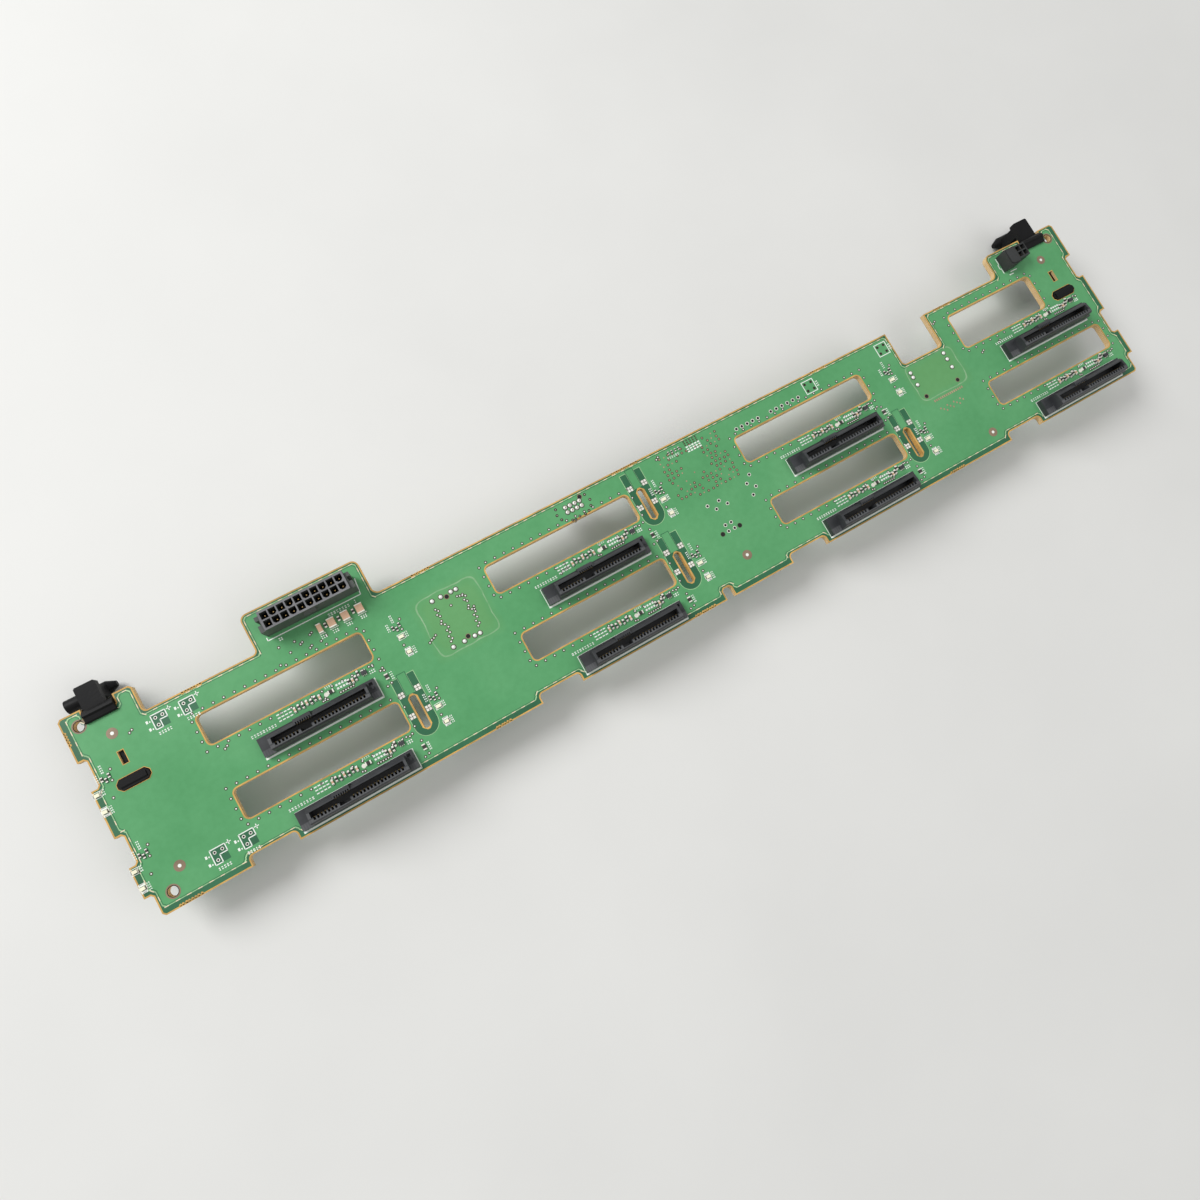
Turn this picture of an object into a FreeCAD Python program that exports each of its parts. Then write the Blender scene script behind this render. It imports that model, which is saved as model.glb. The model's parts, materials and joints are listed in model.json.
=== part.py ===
import FreeCAD, Part
import math
import os

# Drive backplane board. Millimetres. Origin: centre of the board outline on the
# front (drive side) face. +Z points out of the front face, +X along the board,
# +Y towards the edge that carries the power header.

# ---- Drive positions: four columns of two ----
COLUMN_PITCH = 109.2
ROW_PITCH = 27.8
COLUMNS = 4

# Slots, measured from the lower left corner of a drive receptacle's place
AIR_SLOT_LEFT = -14.1
AIR_SLOT_LENGTH = 60.2
AIR_SLOT_BOTTOM = 13.1
AIR_SLOT_HEIGHT = 10.9
AIR_SLOT_RADIUS = 1.7
AIR_SLOT_RIGHT = AIR_SLOT_LEFT + AIR_SLOT_LENGTH
SHORT_SLOT_HEIGHT = 15.1
SHORT_SLOT_TO_PEG = 5.6
PIPE_SLOT_GAP = 3.9
PIPE_SLOT_WIDTH = 3.2
PIPE_SLOT_LENGTH = 13.3
PIPE_SLOT_BOTTOM = 10.5
PIPE_SLOT_RADIUS = 1.2

# ---- Board ----
BOARD_THICKNESS = 2.4
LEFT_MARGIN = 52.4
SLOT_TO_EDGE = 7.5
FOOT_MARGIN = 1.5
SLOT_TO_TOP = 5.6
TAB_RISE = 14.3
EAR_RISE = 10.1
BOARD_WIDTH = LEFT_MARGIN + (COLUMNS - 1) * COLUMN_PITCH + AIR_SLOT_RIGHT + SLOT_TO_EDGE
LONG_HEIGHT = FOOT_MARGIN + ROW_PITCH + AIR_SLOT_BOTTOM + SHORT_SLOT_HEIGHT + SLOT_TO_TOP
BOARD_HEIGHT = LONG_HEIGHT + TAB_RISE
HALF_WIDTH = BOARD_WIDTH / 2
TAB_TOP = BOARD_HEIGHT / 2
BOTTOM_EDGE = -BOARD_HEIGHT / 2
LONG_TOP = TAB_TOP - TAB_RISE
EAR_TOP = LONG_TOP + EAR_RISE
BACK = -BOARD_THICKNESS
FIRST_COLUMN = -HALF_WIDTH + LEFT_MARGIN
FIRST_ROW = BOTTOM_EDGE + FOOT_MARGIN
LAST_COLUMN = FIRST_COLUMN + (COLUMNS - 1) * COLUMN_PITCH

LEFT_EAR_WIDTH = 25.0
RIGHT_EAR_WIDTH = 37.4
TAB_OFFSET = 12.7
TAB_WIDTH = 44.0
TAB_LEFT = FIRST_COLUMN + TAB_OFFSET
CABLE_CUT_OFFSET = 43.1
CABLE_CUT_WIDTH = 19.8
CABLE_CUT_DEPTH = 14.9
CABLE_CUT_LEFT = LAST_COLUMN - CABLE_CUT_OFFSET
CABLE_CUT_FLOOR = LONG_TOP - CABLE_CUT_DEPTH

# side steps: heights above the bottom edge where the side moves in and out
SIDE_STEP_DEPTH = 2.9
SIDE_STEPS = (57.3, 47.0, 29.7, 19.1, 7.9)
FOOT_NOTCH_HEIGHT = 3.5
FOOT_NOTCH_WIDTH = 16.6
FOOT_NOTCH_OFFSET = 2.1
KEY_NOTCH_OFFSET = 60.1
KEY_NOTCH_WIDTH = 3.7
KEY_NOTCH_HEIGHT = 4.4
STEP_RADIUS = 0.8
CORNER_RADIUS = 1.0
INNER_RADIUS = 1.5
TAB_RADIUS = 2.5
SMALLEST_ARC = 1.5

HOLE_RADIUS = 1.7
EAR_HOLE_TO_SIDE = 5.4
EAR_HOLE_TO_TOP = 5.0
FOOT_HOLE_TO_SIDE = 8.7
FOOT_HOLE_TO_BOTTOM = 5.7

# ---- Drive receptacle, measured from its lower left corner ----
RECEPTACLE_LENGTH = 43.0
RECEPTACLE_DEPTH = 6.8
RECEPTACLE_INSET = 0.3
FLANGE_HEIGHT = 2.5
LIP_HEIGHT = 7.2
RIM_HEIGHT = 6.8
TOWER_START = 4.4
TOWER_END = 40.2
BLADE_START = 5.4
BLADE_END = 39.3
BLADE_FRONT = 2.9
BLADE_BACK = 4.9
BLADE_FLOOR = 1.7
RIM_THICKNESS = 0.45
TOWER_BACK = 6.2
CONTACT_PITCH = 1.27
FIRST_SIGNAL = 6.4
SIGNAL_COUNT = 7
FIRST_POWER = 20.4
POWER_COUNT = 15
NOTCH_WIDTH = 0.75
NOTCH_DEPTH = 1.05
REAR_PITCH = 0.8
REAR_COUNT = 7
REAR_NOTCH_WIDTH = 0.42
REAR_NOTCH_DEPTH = 0.75
REAR_BULGE_BACK = 6.9
KEY_WIDTH = 3.9
CONTACT_WIDTH = 0.5
REAR_CONTACT_WIDTH = 0.3
CONTACT_TOP = 6.1

# ---- Power header: two rows of ten at 3 mm ----
POWER_TO_TAB_SIDE = 22.9
POWER_TO_TAB_TOP = 7.45
POWER_CENTRE = (TAB_LEFT + POWER_TO_TAB_SIDE, TAB_TOP - POWER_TO_TAB_TOP)
POWER_PITCH = 3.0
POWER_COLUMNS = 10
POWER_ROWS = 2
POWER_HEIGHT = 9.9
POWER_FLOOR = 2.4
POWER_CELL = 2.5
POWER_WALL = 0.45
POWER_EAR = 1.7
POWER_EAR_DROP = 1.2
RAMP_HALF_WIDTH = 2.2
RAMP_DEPTH = 0.9
RAMP_HEIGHTS = (5.2, 6.6, 7.0, 8.2)
POWER_PIN = 0.64
PIN_TAIL = 1.0
PIN_HOLE_CLEARANCE = 0.1

# ---- Board latches, one at each end ----
LATCH_TO_SIDE = 13.2
LATCH_CENTRE = HALF_WIDTH - LATCH_TO_SIDE
LATCH_NOTCH_HALF = 5.4
LATCH_NOTCH_DEPTH = 4.1
LATCH_NOTCH_FLOOR = EAR_TOP - LATCH_NOTCH_DEPTH
PEG_TO_TOP = 28.95
PEG_SLOT = (11.2, 4.1, EAR_TOP - PEG_TO_TOP)
PEG_SLOT_RADIUS = 1.3
RIB_TO_TOP = 20.7
RIB_SLOT = (2.0, 4.6, EAR_TOP - RIB_TO_TOP)
LATCH_CLEARANCE = 0.2
LATCH_SEAT_GAP = 0.7
LATCH_DEPTH = 3.4
LATCH_WALL = 1.2
LATCH_SKIN = 1.4
LATCH_FOOT = 1.5
PLATE_SPAN = (-2.2, 5.0)
PLATE_FRONT = -0.9
PLATE_BACK = -3.4
STEM_SPAN = (-1.0, 4.4)
BRACE_SPAN = (0.6, 2.8)
HANDLE_RADIUS = 2.5
HANDLE_TIP_RADIUS = 1.0
HANDLE_RISE = 6.1
HANDLE_Y = EAR_TOP + HANDLE_RISE
HANDLE_Z = -14.0
HANDLE_OUTER = 14.0
HANDLE_INNER = 0.6
HANDLE_TIP = 3.2

# ---- Rear side parts: an upright cable connector (a) and a lying one (b) ----
CABLE_WIDTH = 22.3
SHELL_THICKNESS = 0.5
UPRIGHT_TO_COLUMN = 30.7
UPRIGHT_TO_TOP = 21.0
UPRIGHT_CENTRE = (FIRST_COLUMN + COLUMN_PITCH - UPRIGHT_TO_COLUMN, LONG_TOP - UPRIGHT_TO_TOP)
UPRIGHT_DEPTH = 11.4
UPRIGHT_HEIGHT = 11.0
LYING_DEPTH = 19.0
LYING_HEIGHT = 8.6
LYING_OFFSET = 0.4
LYING_TO_CUT = 1.25
LYING_CENTRE = (CABLE_CUT_LEFT + CABLE_CUT_WIDTH / 2 - LYING_OFFSET,
                CABLE_CUT_FLOOR - LYING_DEPTH / 2 - LYING_TO_CUT)
LYING_PEG_OFFSET = 5.0
PEG_SPACING = 16.2
PEG_RADIUS = 0.6
TONGUE_LENGTH = 16.8
TONGUE_THICKNESS = 1.2
CHIP_TO_COLUMN = 32.9
CHIP_TO_TOP = 12.4
CHIP_CENTRE = (FIRST_COLUMN + 2 * COLUMN_PITCH - CHIP_TO_COLUMN, LONG_TOP - CHIP_TO_TOP)
CHIP_SIZE = 23.0
CHIP_BORDER = 2.4
SUBSTRATE_THICKNESS = 0.9
LID_THICKNESS = 1.2
SERVICE_OFFSET = 26.15
SERVICE_TO_TOP = 4.75
SERVICE_CENTRE = (FIRST_COLUMN + COLUMN_PITCH + SERVICE_OFFSET, LONG_TOP - SERVICE_TO_TOP)
SERVICE_PITCH = 2.0
SERVICE_COLUMNS = 4
SERVICE_ROWS = 2
SERVICE_PIN = 0.5
SERVICE_HEIGHT = 6.6

# ---- Small header beside the right latch: a closed cap and a two by two socket ----
AUX_CENTRE = (LATCH_CENTRE - 14.2, EAR_TOP - 6.2)
AUX_SIZE = (10.4, 7.2, 5.6)
AUX_PITCH = 2.54
AUX_CELL = 2.0
AUX_WALL = 0.4

# ---- Chip parts on the front face: length, width and height ----
LAMP_SIZE = (1.6, 1.1, 0.7)
LAMP_TO_EDGE = 1.2
LAMP_TO_PIPE = 4.8
LAMP_HEIGHTS = (9.7, 15.7)
RESISTOR_SIZE = (2.0, 1.25, 0.6)
RESISTOR_PLACE = (28.4, AIR_SLOT_BOTTOM - 3.0)
SIDE_RESISTOR_PLACE = (RECEPTACLE_LENGTH + 4.2, 5.6)
DRIVER_SIZE = (2.0, 1.3, 0.9)
DRIVER_PLACE = (41.0, AIR_SLOT_BOTTOM - 2.5)
RESERVOIR_DEPTH = 3.2
RESERVOIR_HEIGHT = 1.7
RESERVOIR_TO_TOP = 2.4
RESERVOIRS = ((22.3, 1.6), (26.7, 2.6), (31.9, 2.6), (37.3, 2.6))
SUPPLY_SIZE = (0.8, 1.6, 0.6)
SUPPLY_OFFSETS = (24.4, 29.4, 34.8)


def box(x0, y0, z0, x1, y1, z1):
    return Part.makeBox(x1 - x0, y1 - y0, z1 - z0, FreeCAD.Vector(x0, y0, z0))


def rounded_wire(corners, z):
    """Closed wire through (x, y, radius) corners: a tangent arc, or a flat where the radius is small."""
    count = len(corners)
    starts, ends, middles = [], [], []
    for i, (x, y, radius) in enumerate(corners):
        corner = FreeCAD.Vector(x, y, z)
        before = FreeCAD.Vector(corners[i - 1][0], corners[i - 1][1], z) - corner
        after = FreeCAD.Vector(corners[(i + 1) % count][0], corners[(i + 1) % count][1], z) - corner
        before.normalize()
        after.normalize()
        half_angle = before.getAngle(after) / 2
        reach = radius / math.tan(half_angle)
        inward = before + after
        inward.normalize()
        starts.append(corner + before * reach)
        ends.append(corner + after * reach)
        middles.append(corner + inward * (radius / math.sin(half_angle) - radius))
    edges = []
    for i in range(count):
        if corners[i][2] >= SMALLEST_ARC:
            edges.append(Part.Arc(starts[i], middles[i], ends[i]).toShape())
        elif corners[i][2] > 0:
            edges.append(Part.LineSegment(starts[i], ends[i]).toShape())
        following = starts[(i + 1) % count]
        if ends[i].distanceToPoint(following) > 1e-6:
            edges.append(Part.LineSegment(ends[i], following).toShape())
    return Part.Wire(edges)


def rounded_rectangle(x0, y0, x1, y1, radius, z):
    return rounded_wire([(x0, y0, radius), (x1, y0, radius), (x1, y1, radius), (x0, y1, radius)], z)


def circle(x, y, radius, z):
    edge = Part.makeCircle(radius, FreeCAD.Vector(x, y, z))
    return Part.Wire([edge])


def hexagon(x, y, radius, z):
    """Six-sided wire for the many small holes and pegs, corners on the circle."""
    points = []
    for i in range(7):
        angle = math.radians(60 * i)
        points.append(FreeCAD.Vector(x + radius * math.cos(angle), y + radius * math.sin(angle), z))
    return Part.makePolygon(points)


def peg(x, y, radius, z0, z1):
    return Part.Face(hexagon(x, y, radius, z0)).extrude(FreeCAD.Vector(0, 0, z1 - z0))


def rounded_block(x0, y0, z0, x1, y1, z1, radius):
    face = Part.Face(rounded_rectangle(x0, y0, x1, y1, radius, z0))
    return face.extrude(FreeCAD.Vector(0, 0, z1 - z0))


def section_along_x(points, x0, x1):
    """Prism with the given (y, z) section, running from x0 to x1."""
    corners = [FreeCAD.Vector(x0, y, z) for y, z in points]
    face = Part.Face(Part.makePolygon(corners + corners[:1]))
    return face.extrude(FreeCAD.Vector(x1 - x0, 0, 0))


def mirror_x(shape):
    return shape.mirror(FreeCAD.Vector(0, 0, 0), FreeCAD.Vector(1, 0, 0))


def save(name, solids):
    shape = solids[0] if len(solids) == 1 else Part.makeCompound(solids)
    shape.exportStep("parts/" + name + ".step")


def grid(centre, pitch, columns, rows):
    """Centres of a rectangular grid, row by row from the lower left."""
    places = []
    for row in range(rows):
        for column in range(columns):
            x = centre[0] + (column - (columns - 1) / 2) * pitch
            y = centre[1] + (row - (rows - 1) / 2) * pitch
            places.append((x, y))
    return places


def drive_corners():
    """Lower left corner of each drive receptacle's place, lower row first."""
    places = []
    for column in range(COLUMNS):
        for row in range(2):
            places.append((FIRST_COLUMN + column * COLUMN_PITCH, FIRST_ROW + row * ROW_PITCH))
    return places


# ---------------------------------------------------------------- board
def board_corners():
    """Outline corners (x, y, radius), clockwise from the left ear; a cutter rounds only inside corners."""
    inner = HALF_WIDTH - SIDE_STEP_DEPTH
    notch_out = LATCH_CENTRE + LATCH_NOTCH_HALF
    notch_in = LATCH_CENTRE - LATCH_NOTCH_HALF
    left_ear = -HALF_WIDTH + LEFT_EAR_WIDTH
    right_ear = HALF_WIDTH - RIGHT_EAR_WIDTH
    tab_right = TAB_LEFT + TAB_WIDTH
    cut_right = CABLE_CUT_LEFT + CABLE_CUT_WIDTH
    corners = [
        (-HALF_WIDTH, EAR_TOP, CORNER_RADIUS),
        (-notch_out, EAR_TOP, 0),
        (-notch_out, LATCH_NOTCH_FLOOR, STEP_RADIUS),
        (-notch_in, LATCH_NOTCH_FLOOR, STEP_RADIUS),
        (-notch_in, EAR_TOP, 0),
        (left_ear, EAR_TOP, CORNER_RADIUS),
        (left_ear, LONG_TOP, INNER_RADIUS),
        (TAB_LEFT, LONG_TOP, INNER_RADIUS),
        (TAB_LEFT, TAB_TOP, TAB_RADIUS),
        (tab_right, TAB_TOP, TAB_RADIUS),
        (tab_right, LONG_TOP, TAB_RADIUS),
        (CABLE_CUT_LEFT, LONG_TOP, 0),
        (CABLE_CUT_LEFT, CABLE_CUT_FLOOR, INNER_RADIUS),
        (cut_right, CABLE_CUT_FLOOR, INNER_RADIUS),
        (cut_right, LONG_TOP, 0),
        (right_ear, LONG_TOP, TAB_RADIUS),
        (right_ear, EAR_TOP, TAB_RADIUS),
        (notch_in, EAR_TOP, 0),
        (notch_in, LATCH_NOTCH_FLOOR, STEP_RADIUS),
        (notch_out, LATCH_NOTCH_FLOOR, STEP_RADIUS),
        (notch_out, EAR_TOP, 0),
        (HALF_WIDTH, EAR_TOP, CORNER_RADIUS),
    ]
    sides = [HALF_WIDTH, inner]
    radii = [0, STEP_RADIUS]
    steps = [BOTTOM_EDGE + height for height in SIDE_STEPS]
    for i, y in enumerate(steps):
        corners.append((sides[i % 2], y, radii[i % 2]))
        corners.append((sides[(i + 1) % 2], y, radii[(i + 1) % 2]))
    corners.append((inner, BOTTOM_EDGE, CORNER_RADIUS))
    foot_top = BOTTOM_EDGE + FOOT_NOTCH_HEIGHT
    key_top = BOTTOM_EDGE + KEY_NOTCH_HEIGHT
    key_left = FIRST_COLUMN + COLUMN_PITCH + KEY_NOTCH_OFFSET
    for column in reversed(range(COLUMNS)):
        right = FIRST_COLUMN + column * COLUMN_PITCH - FOOT_NOTCH_OFFSET
        left = right - FOOT_NOTCH_WIDTH
        corners += [
            (right, BOTTOM_EDGE, 0),
            (right, foot_top, INNER_RADIUS),
            (left, foot_top, INNER_RADIUS),
            (left, BOTTOM_EDGE, 0),
        ]
        if column == 2:
            corners += [
                (key_left + KEY_NOTCH_WIDTH, BOTTOM_EDGE, 0),
                (key_left + KEY_NOTCH_WIDTH, key_top, STEP_RADIUS),
                (key_left, key_top, STEP_RADIUS),
                (key_left, BOTTOM_EDGE, 0),
            ]
    corners.append((-inner, BOTTOM_EDGE, CORNER_RADIUS))
    for i, y in reversed(list(enumerate(steps))):
        corners.append((-sides[(i + 1) % 2], y, radii[(i + 1) % 2]))
        corners.append((-sides[i % 2], y, radii[i % 2]))
    return corners


def air_slots():
    """Air slot rectangles (x0, y0, x1, y1): one over each receptacle."""
    slots = []
    for x, y in drive_corners():
        left = x + AIR_SLOT_LEFT
        bottom = y + AIR_SLOT_BOTTOM
        slots.append([left, bottom, left + AIR_SLOT_LENGTH, bottom + AIR_SLOT_HEIGHT])
    # the last slot stops short of the right latch's peg and is taller
    slots[-1][2] = LATCH_CENTRE - PEG_SLOT[0] / 2 - SHORT_SLOT_TO_PEG
    slots[-1][3] = slots[-1][1] + SHORT_SLOT_HEIGHT
    return slots


def light_pipe_slots():
    """Left and bottom of each light pipe slot: lower row of three columns and one upper."""
    slots = [(FIRST_COLUMN + column * COLUMN_PITCH, FIRST_ROW) for column in range(COLUMNS - 1)]
    slots.append((FIRST_COLUMN + COLUMN_PITCH, FIRST_ROW + ROW_PITCH))
    return [(x + AIR_SLOT_RIGHT + PIPE_SLOT_GAP, y + PIPE_SLOT_BOTTOM) for x, y in slots]


def fixing_holes():
    """Centres of the two ear holes and the hole at the lower left corner."""
    ear_x, ear_y = HALF_WIDTH - EAR_HOLE_TO_SIDE, EAR_TOP - EAR_HOLE_TO_TOP
    foot = (-HALF_WIDTH + FOOT_HOLE_TO_SIDE, BOTTOM_EDGE + FOOT_HOLE_TO_BOTTOM)
    return [(-ear_x, ear_y), (ear_x, ear_y), foot]


def build_board():
    z = BACK
    wires = [rounded_wire(board_corners(), z)]
    for x0, y0, x1, y1 in air_slots():
        wires.append(rounded_rectangle(x0, y0, x1, y1, AIR_SLOT_RADIUS, z))
    for x, y in light_pipe_slots():
        wires.append(rounded_rectangle(x, y, x + PIPE_SLOT_WIDTH, y + PIPE_SLOT_LENGTH, PIPE_SLOT_RADIUS, z))
    for side in (-1, 1):
        for (width, height, y), radius in ((PEG_SLOT, PEG_SLOT_RADIUS), (RIB_SLOT, 0)):
            left, low = side * LATCH_CENTRE - width / 2, y - height / 2
            wires.append(rounded_rectangle(left, low, left + width, low + height, radius, z))
    for x, y in fixing_holes():
        wires.append(circle(x, y, HOLE_RADIUS, z))
    # a hole's radius reaches the square pin's corner plus the clearance
    pin_hole = POWER_PIN / math.sqrt(2) + PIN_HOLE_CLEARANCE
    for x, y in grid(POWER_CENTRE, POWER_PITCH, POWER_COLUMNS, POWER_ROWS):
        wires.append(hexagon(x, y, pin_hole, z))
    service_hole = SERVICE_PIN / math.sqrt(2) + PIN_HOLE_CLEARANCE
    for x, y in grid(SERVICE_CENTRE, SERVICE_PITCH, SERVICE_COLUMNS, SERVICE_ROWS):
        wires.append(hexagon(x, y, service_hole, z))
    for x, y in upright_pegs() + lying_pegs():
        wires.append(hexagon(x, y, PEG_RADIUS + PIN_HOLE_CLEARANCE, z))
    face = Part.makeFace(wires, "Part::FaceMakerBullseye")
    save("circuit_board", [face.extrude(FreeCAD.Vector(0, 0, BOARD_THICKNESS))])


# ---------------------------------------------------------------- drive receptacle
def front_contact_places():
    signals = [FIRST_SIGNAL + i * CONTACT_PITCH for i in range(SIGNAL_COUNT)]
    powers = [FIRST_POWER + i * CONTACT_PITCH for i in range(POWER_COUNT)]
    return signals + powers


def key_centre():
    last_signal = FIRST_SIGNAL + (SIGNAL_COUNT - 1) * CONTACT_PITCH
    return (last_signal + FIRST_POWER) / 2


def rear_contact_places():
    start = key_centre() - (REAR_COUNT - 1) / 2 * REAR_PITCH
    return [start + i * REAR_PITCH for i in range(REAR_COUNT)]


def receptacle_housing():
    inset = RECEPTACLE_INSET
    flange = box(inset, inset, 0, RECEPTACLE_LENGTH, inset + RECEPTACLE_DEPTH, FLANGE_HEIGHT)
    rim_back = BLADE_BACK + RIM_THICKNESS
    tower = section_along_x([
        (inset + 0.2, FLANGE_HEIGHT), (inset + 0.6, LIP_HEIGHT - 0.6), (inset + 1.1, LIP_HEIGHT),
        (BLADE_FRONT, LIP_HEIGHT), (BLADE_BACK, RIM_HEIGHT), (rim_back, RIM_HEIGHT),
        (TOWER_BACK, RIM_HEIGHT - 0.9), (TOWER_BACK, FLANGE_HEIGHT)], TOWER_START, TOWER_END)
    rear = rear_contact_places()
    bulge_half = (rear[-1] - rear[0]) / 2 + 0.7
    bulge = section_along_x([
        (BLADE_BACK, FLANGE_HEIGHT), (BLADE_BACK, LIP_HEIGHT), (REAR_BULGE_BACK - 0.5, LIP_HEIGHT),
        (REAR_BULGE_BACK, LIP_HEIGHT - 0.5), (REAR_BULGE_BACK, FLANGE_HEIGHT)],
        key_centre() - bulge_half, key_centre() + bulge_half)
    body = flange.fuse([tower, bulge])
    # key nub at the power end
    body = body.fuse([box(TOWER_END + 1.0, BLADE_FRONT + 0.8, FLANGE_HEIGHT,
                          TOWER_END + 1.8, BLADE_BACK - 0.4, FLANGE_HEIGHT + 0.8)])
    cuts = [box(BLADE_START, BLADE_FRONT, BLADE_FLOOR, BLADE_END, BLADE_BACK, LIP_HEIGHT + 1)]
    for x in front_contact_places():
        cuts.append(box(x - NOTCH_WIDTH / 2, BLADE_FRONT - NOTCH_DEPTH, BLADE_FLOOR,
                        x + NOTCH_WIDTH / 2, BLADE_FRONT, LIP_HEIGHT + 1))
    for x in rear:
        cuts.append(box(x - REAR_NOTCH_WIDTH / 2, BLADE_BACK, BLADE_FLOOR,
                        x + REAR_NOTCH_WIDTH / 2, BLADE_BACK + REAR_NOTCH_DEPTH, LIP_HEIGHT + 1))
    cuts.append(box(key_centre() - KEY_WIDTH / 2, BLADE_FRONT - 1.2, BLADE_FLOOR,
                    key_centre() + KEY_WIDTH / 2, BLADE_FRONT, LIP_HEIGHT + 1))
    # locating pocket in the flange behind the nub
    cuts.append(box(TOWER_END + 0.6, BLADE_BACK + 0.2, 1.2, TOWER_END + 1.9, TOWER_BACK, FLANGE_HEIGHT + 1))
    return body.cut(cuts).removeSplitter()


def receptacle_contacts():
    contacts = []
    half = CONTACT_WIDTH / 2
    foot = BLADE_FRONT - NOTCH_DEPTH + 0.1
    for x in front_contact_places():
        contacts.append(section_along_x([
            (foot, BLADE_FLOOR), (foot + 0.25, BLADE_FLOOR), (BLADE_FRONT + 0.2, CONTACT_TOP - 0.3),
            (BLADE_FRONT - 0.1, CONTACT_TOP)],
            x - half, x + half))
    half = REAR_CONTACT_WIDTH / 2
    foot = BLADE_BACK + REAR_NOTCH_DEPTH - 0.1
    for x in rear_contact_places():
        contacts.append(section_along_x([
            (foot - 0.2, BLADE_FLOOR), (foot, BLADE_FLOOR), (BLADE_BACK + 0.1, CONTACT_TOP),
            (BLADE_BACK - 0.2, CONTACT_TOP - 0.3)],
            x - half, x + half))
    return contacts


def build_receptacles():
    housing = receptacle_housing()
    contacts = receptacle_contacts()
    for number, (x, y) in enumerate(drive_corners(), 1):
        offset = FreeCAD.Vector(x, y, 0)
        save("drive_receptacle_%d" % number, [housing.translated(offset)])
        save("drive_contacts_%d" % number, [contact.translated(offset) for contact in contacts])


# ---------------------------------------------------------------- power header
def power_cell(x, y, cropped):
    """Well of one circuit; cropped wells have two corners cut to key the plug."""
    half = POWER_CELL / 2
    crop = 0.7 if cropped else 0.0
    points = [(x - half, y + half), (x + half, y + half), (x + half, y - half + crop)]
    if cropped:
        points += [(x + half - crop, y - half), (x - half + crop, y - half)]
    else:
        points.append((x + half, y - half))
    points.append((x - half, y - half + crop))
    corners = [FreeCAD.Vector(px, py, POWER_FLOOR) for px, py in points]
    face = Part.Face(Part.makePolygon(corners + corners[:1]))
    return face.extrude(FreeCAD.Vector(0, 0, POWER_HEIGHT))


def square_pin(x, y, width, bottom, top, taper):
    """Square pin whose top end narrows to half its width."""
    half = width / 2
    shank = box(x - half, y - half, bottom, x + half, y + half, top - taper)
    nose = Part.makeWedge(-half, 0, -half, -half / 2, -half / 2, half, taper, half, half / 2, half / 2)
    nose.rotate(FreeCAD.Vector(0, 0, 0), FreeCAD.Vector(1, 0, 0), 90)
    nose.translate(FreeCAD.Vector(x, y, top - taper))
    return shank.fuse([nose]).removeSplitter()


def build_power_header():
    cx, cy = POWER_CENTRE
    half_x = POWER_COLUMNS * POWER_PITCH / 2 + POWER_WALL
    half_y = POWER_ROWS * POWER_PITCH / 2 + POWER_WALL
    body = box(cx - half_x, cy - half_y, 0, cx + half_x, cy + half_y, POWER_HEIGHT)
    for side in (-1, 1):
        inner, outer = sorted((cx + side * half_x, cx + side * (half_x + POWER_EAR)))
        ear = box(inner, cy - half_y, 0, outer, cy + half_y - 1.0, POWER_HEIGHT - POWER_EAR_DROP)
        slot_in, slot_out = sorted((cx + side * (half_x + 0.5), cx + side * (half_x + POWER_EAR + 0.5)))
        slot = box(slot_in, cy - 0.9, 3.0, slot_out, cy + 0.9, POWER_HEIGHT)
        body = body.fuse([ear.cut(slot)])
    # locking ramp in the middle of the lower wall
    front = cy - half_y
    tip = front - RAMP_DEPTH
    section = list(zip((front, tip, tip, front), RAMP_HEIGHTS))
    ramp = section_along_x(section, cx - RAMP_HALF_WIDTH, cx + RAMP_HALF_WIDTH)
    body = body.fuse([ramp])
    places = grid(POWER_CENTRE, POWER_PITCH, POWER_COLUMNS, POWER_ROWS)
    wells = [power_cell(x, y, i % 2 == 1) for i, (x, y) in enumerate(places)]
    half = POWER_PIN / 2
    bores = [box(x - half, y - half, -1, x + half, y + half, POWER_FLOOR + 1) for x, y in places]
    save("power_header", [body.cut(wells + bores).removeSplitter()])
    bottom = BACK - PIN_TAIL
    save("power_pins", [square_pin(x, y, POWER_PIN, bottom, POWER_HEIGHT - 1.6, 0.5) for x, y in places])


# ---------------------------------------------------------------- small header
def build_aux_header():
    cx, cy = AUX_CENTRE
    length, depth, height = AUX_SIZE
    left, right = cx - length / 2, cx + length / 2
    low, high = cy - depth / 2, cy + depth / 2
    socket = 2 * AUX_PITCH + AUX_WALL
    places = grid((right - socket / 2, cy + 0.4), AUX_PITCH, 2, 2)
    half = AUX_CELL / 2
    cap = box(left, low, 0, right - socket, high, height)
    lid = rounded_block(left + 0.4, low + 0.4, height, right - socket - 0.3, high - 0.4, height + 0.5, 0.6)
    block = box(right - socket, cy + 0.4 - socket / 2 - 0.2, 0, right, cy + 0.4 + socket / 2 + 0.2, height)
    wells = [box(x - half, y - half, 1.6, x + half, y + half, height + 1) for x, y in places]
    save("aux_header", [cap.fuse([lid, block]).cut(wells).removeSplitter()])
    save("aux_pins", [box(x - 0.3, y - 0.3, 1.6, x + 0.3, y + 0.3, height - 1.2) for x, y in places])


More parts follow.
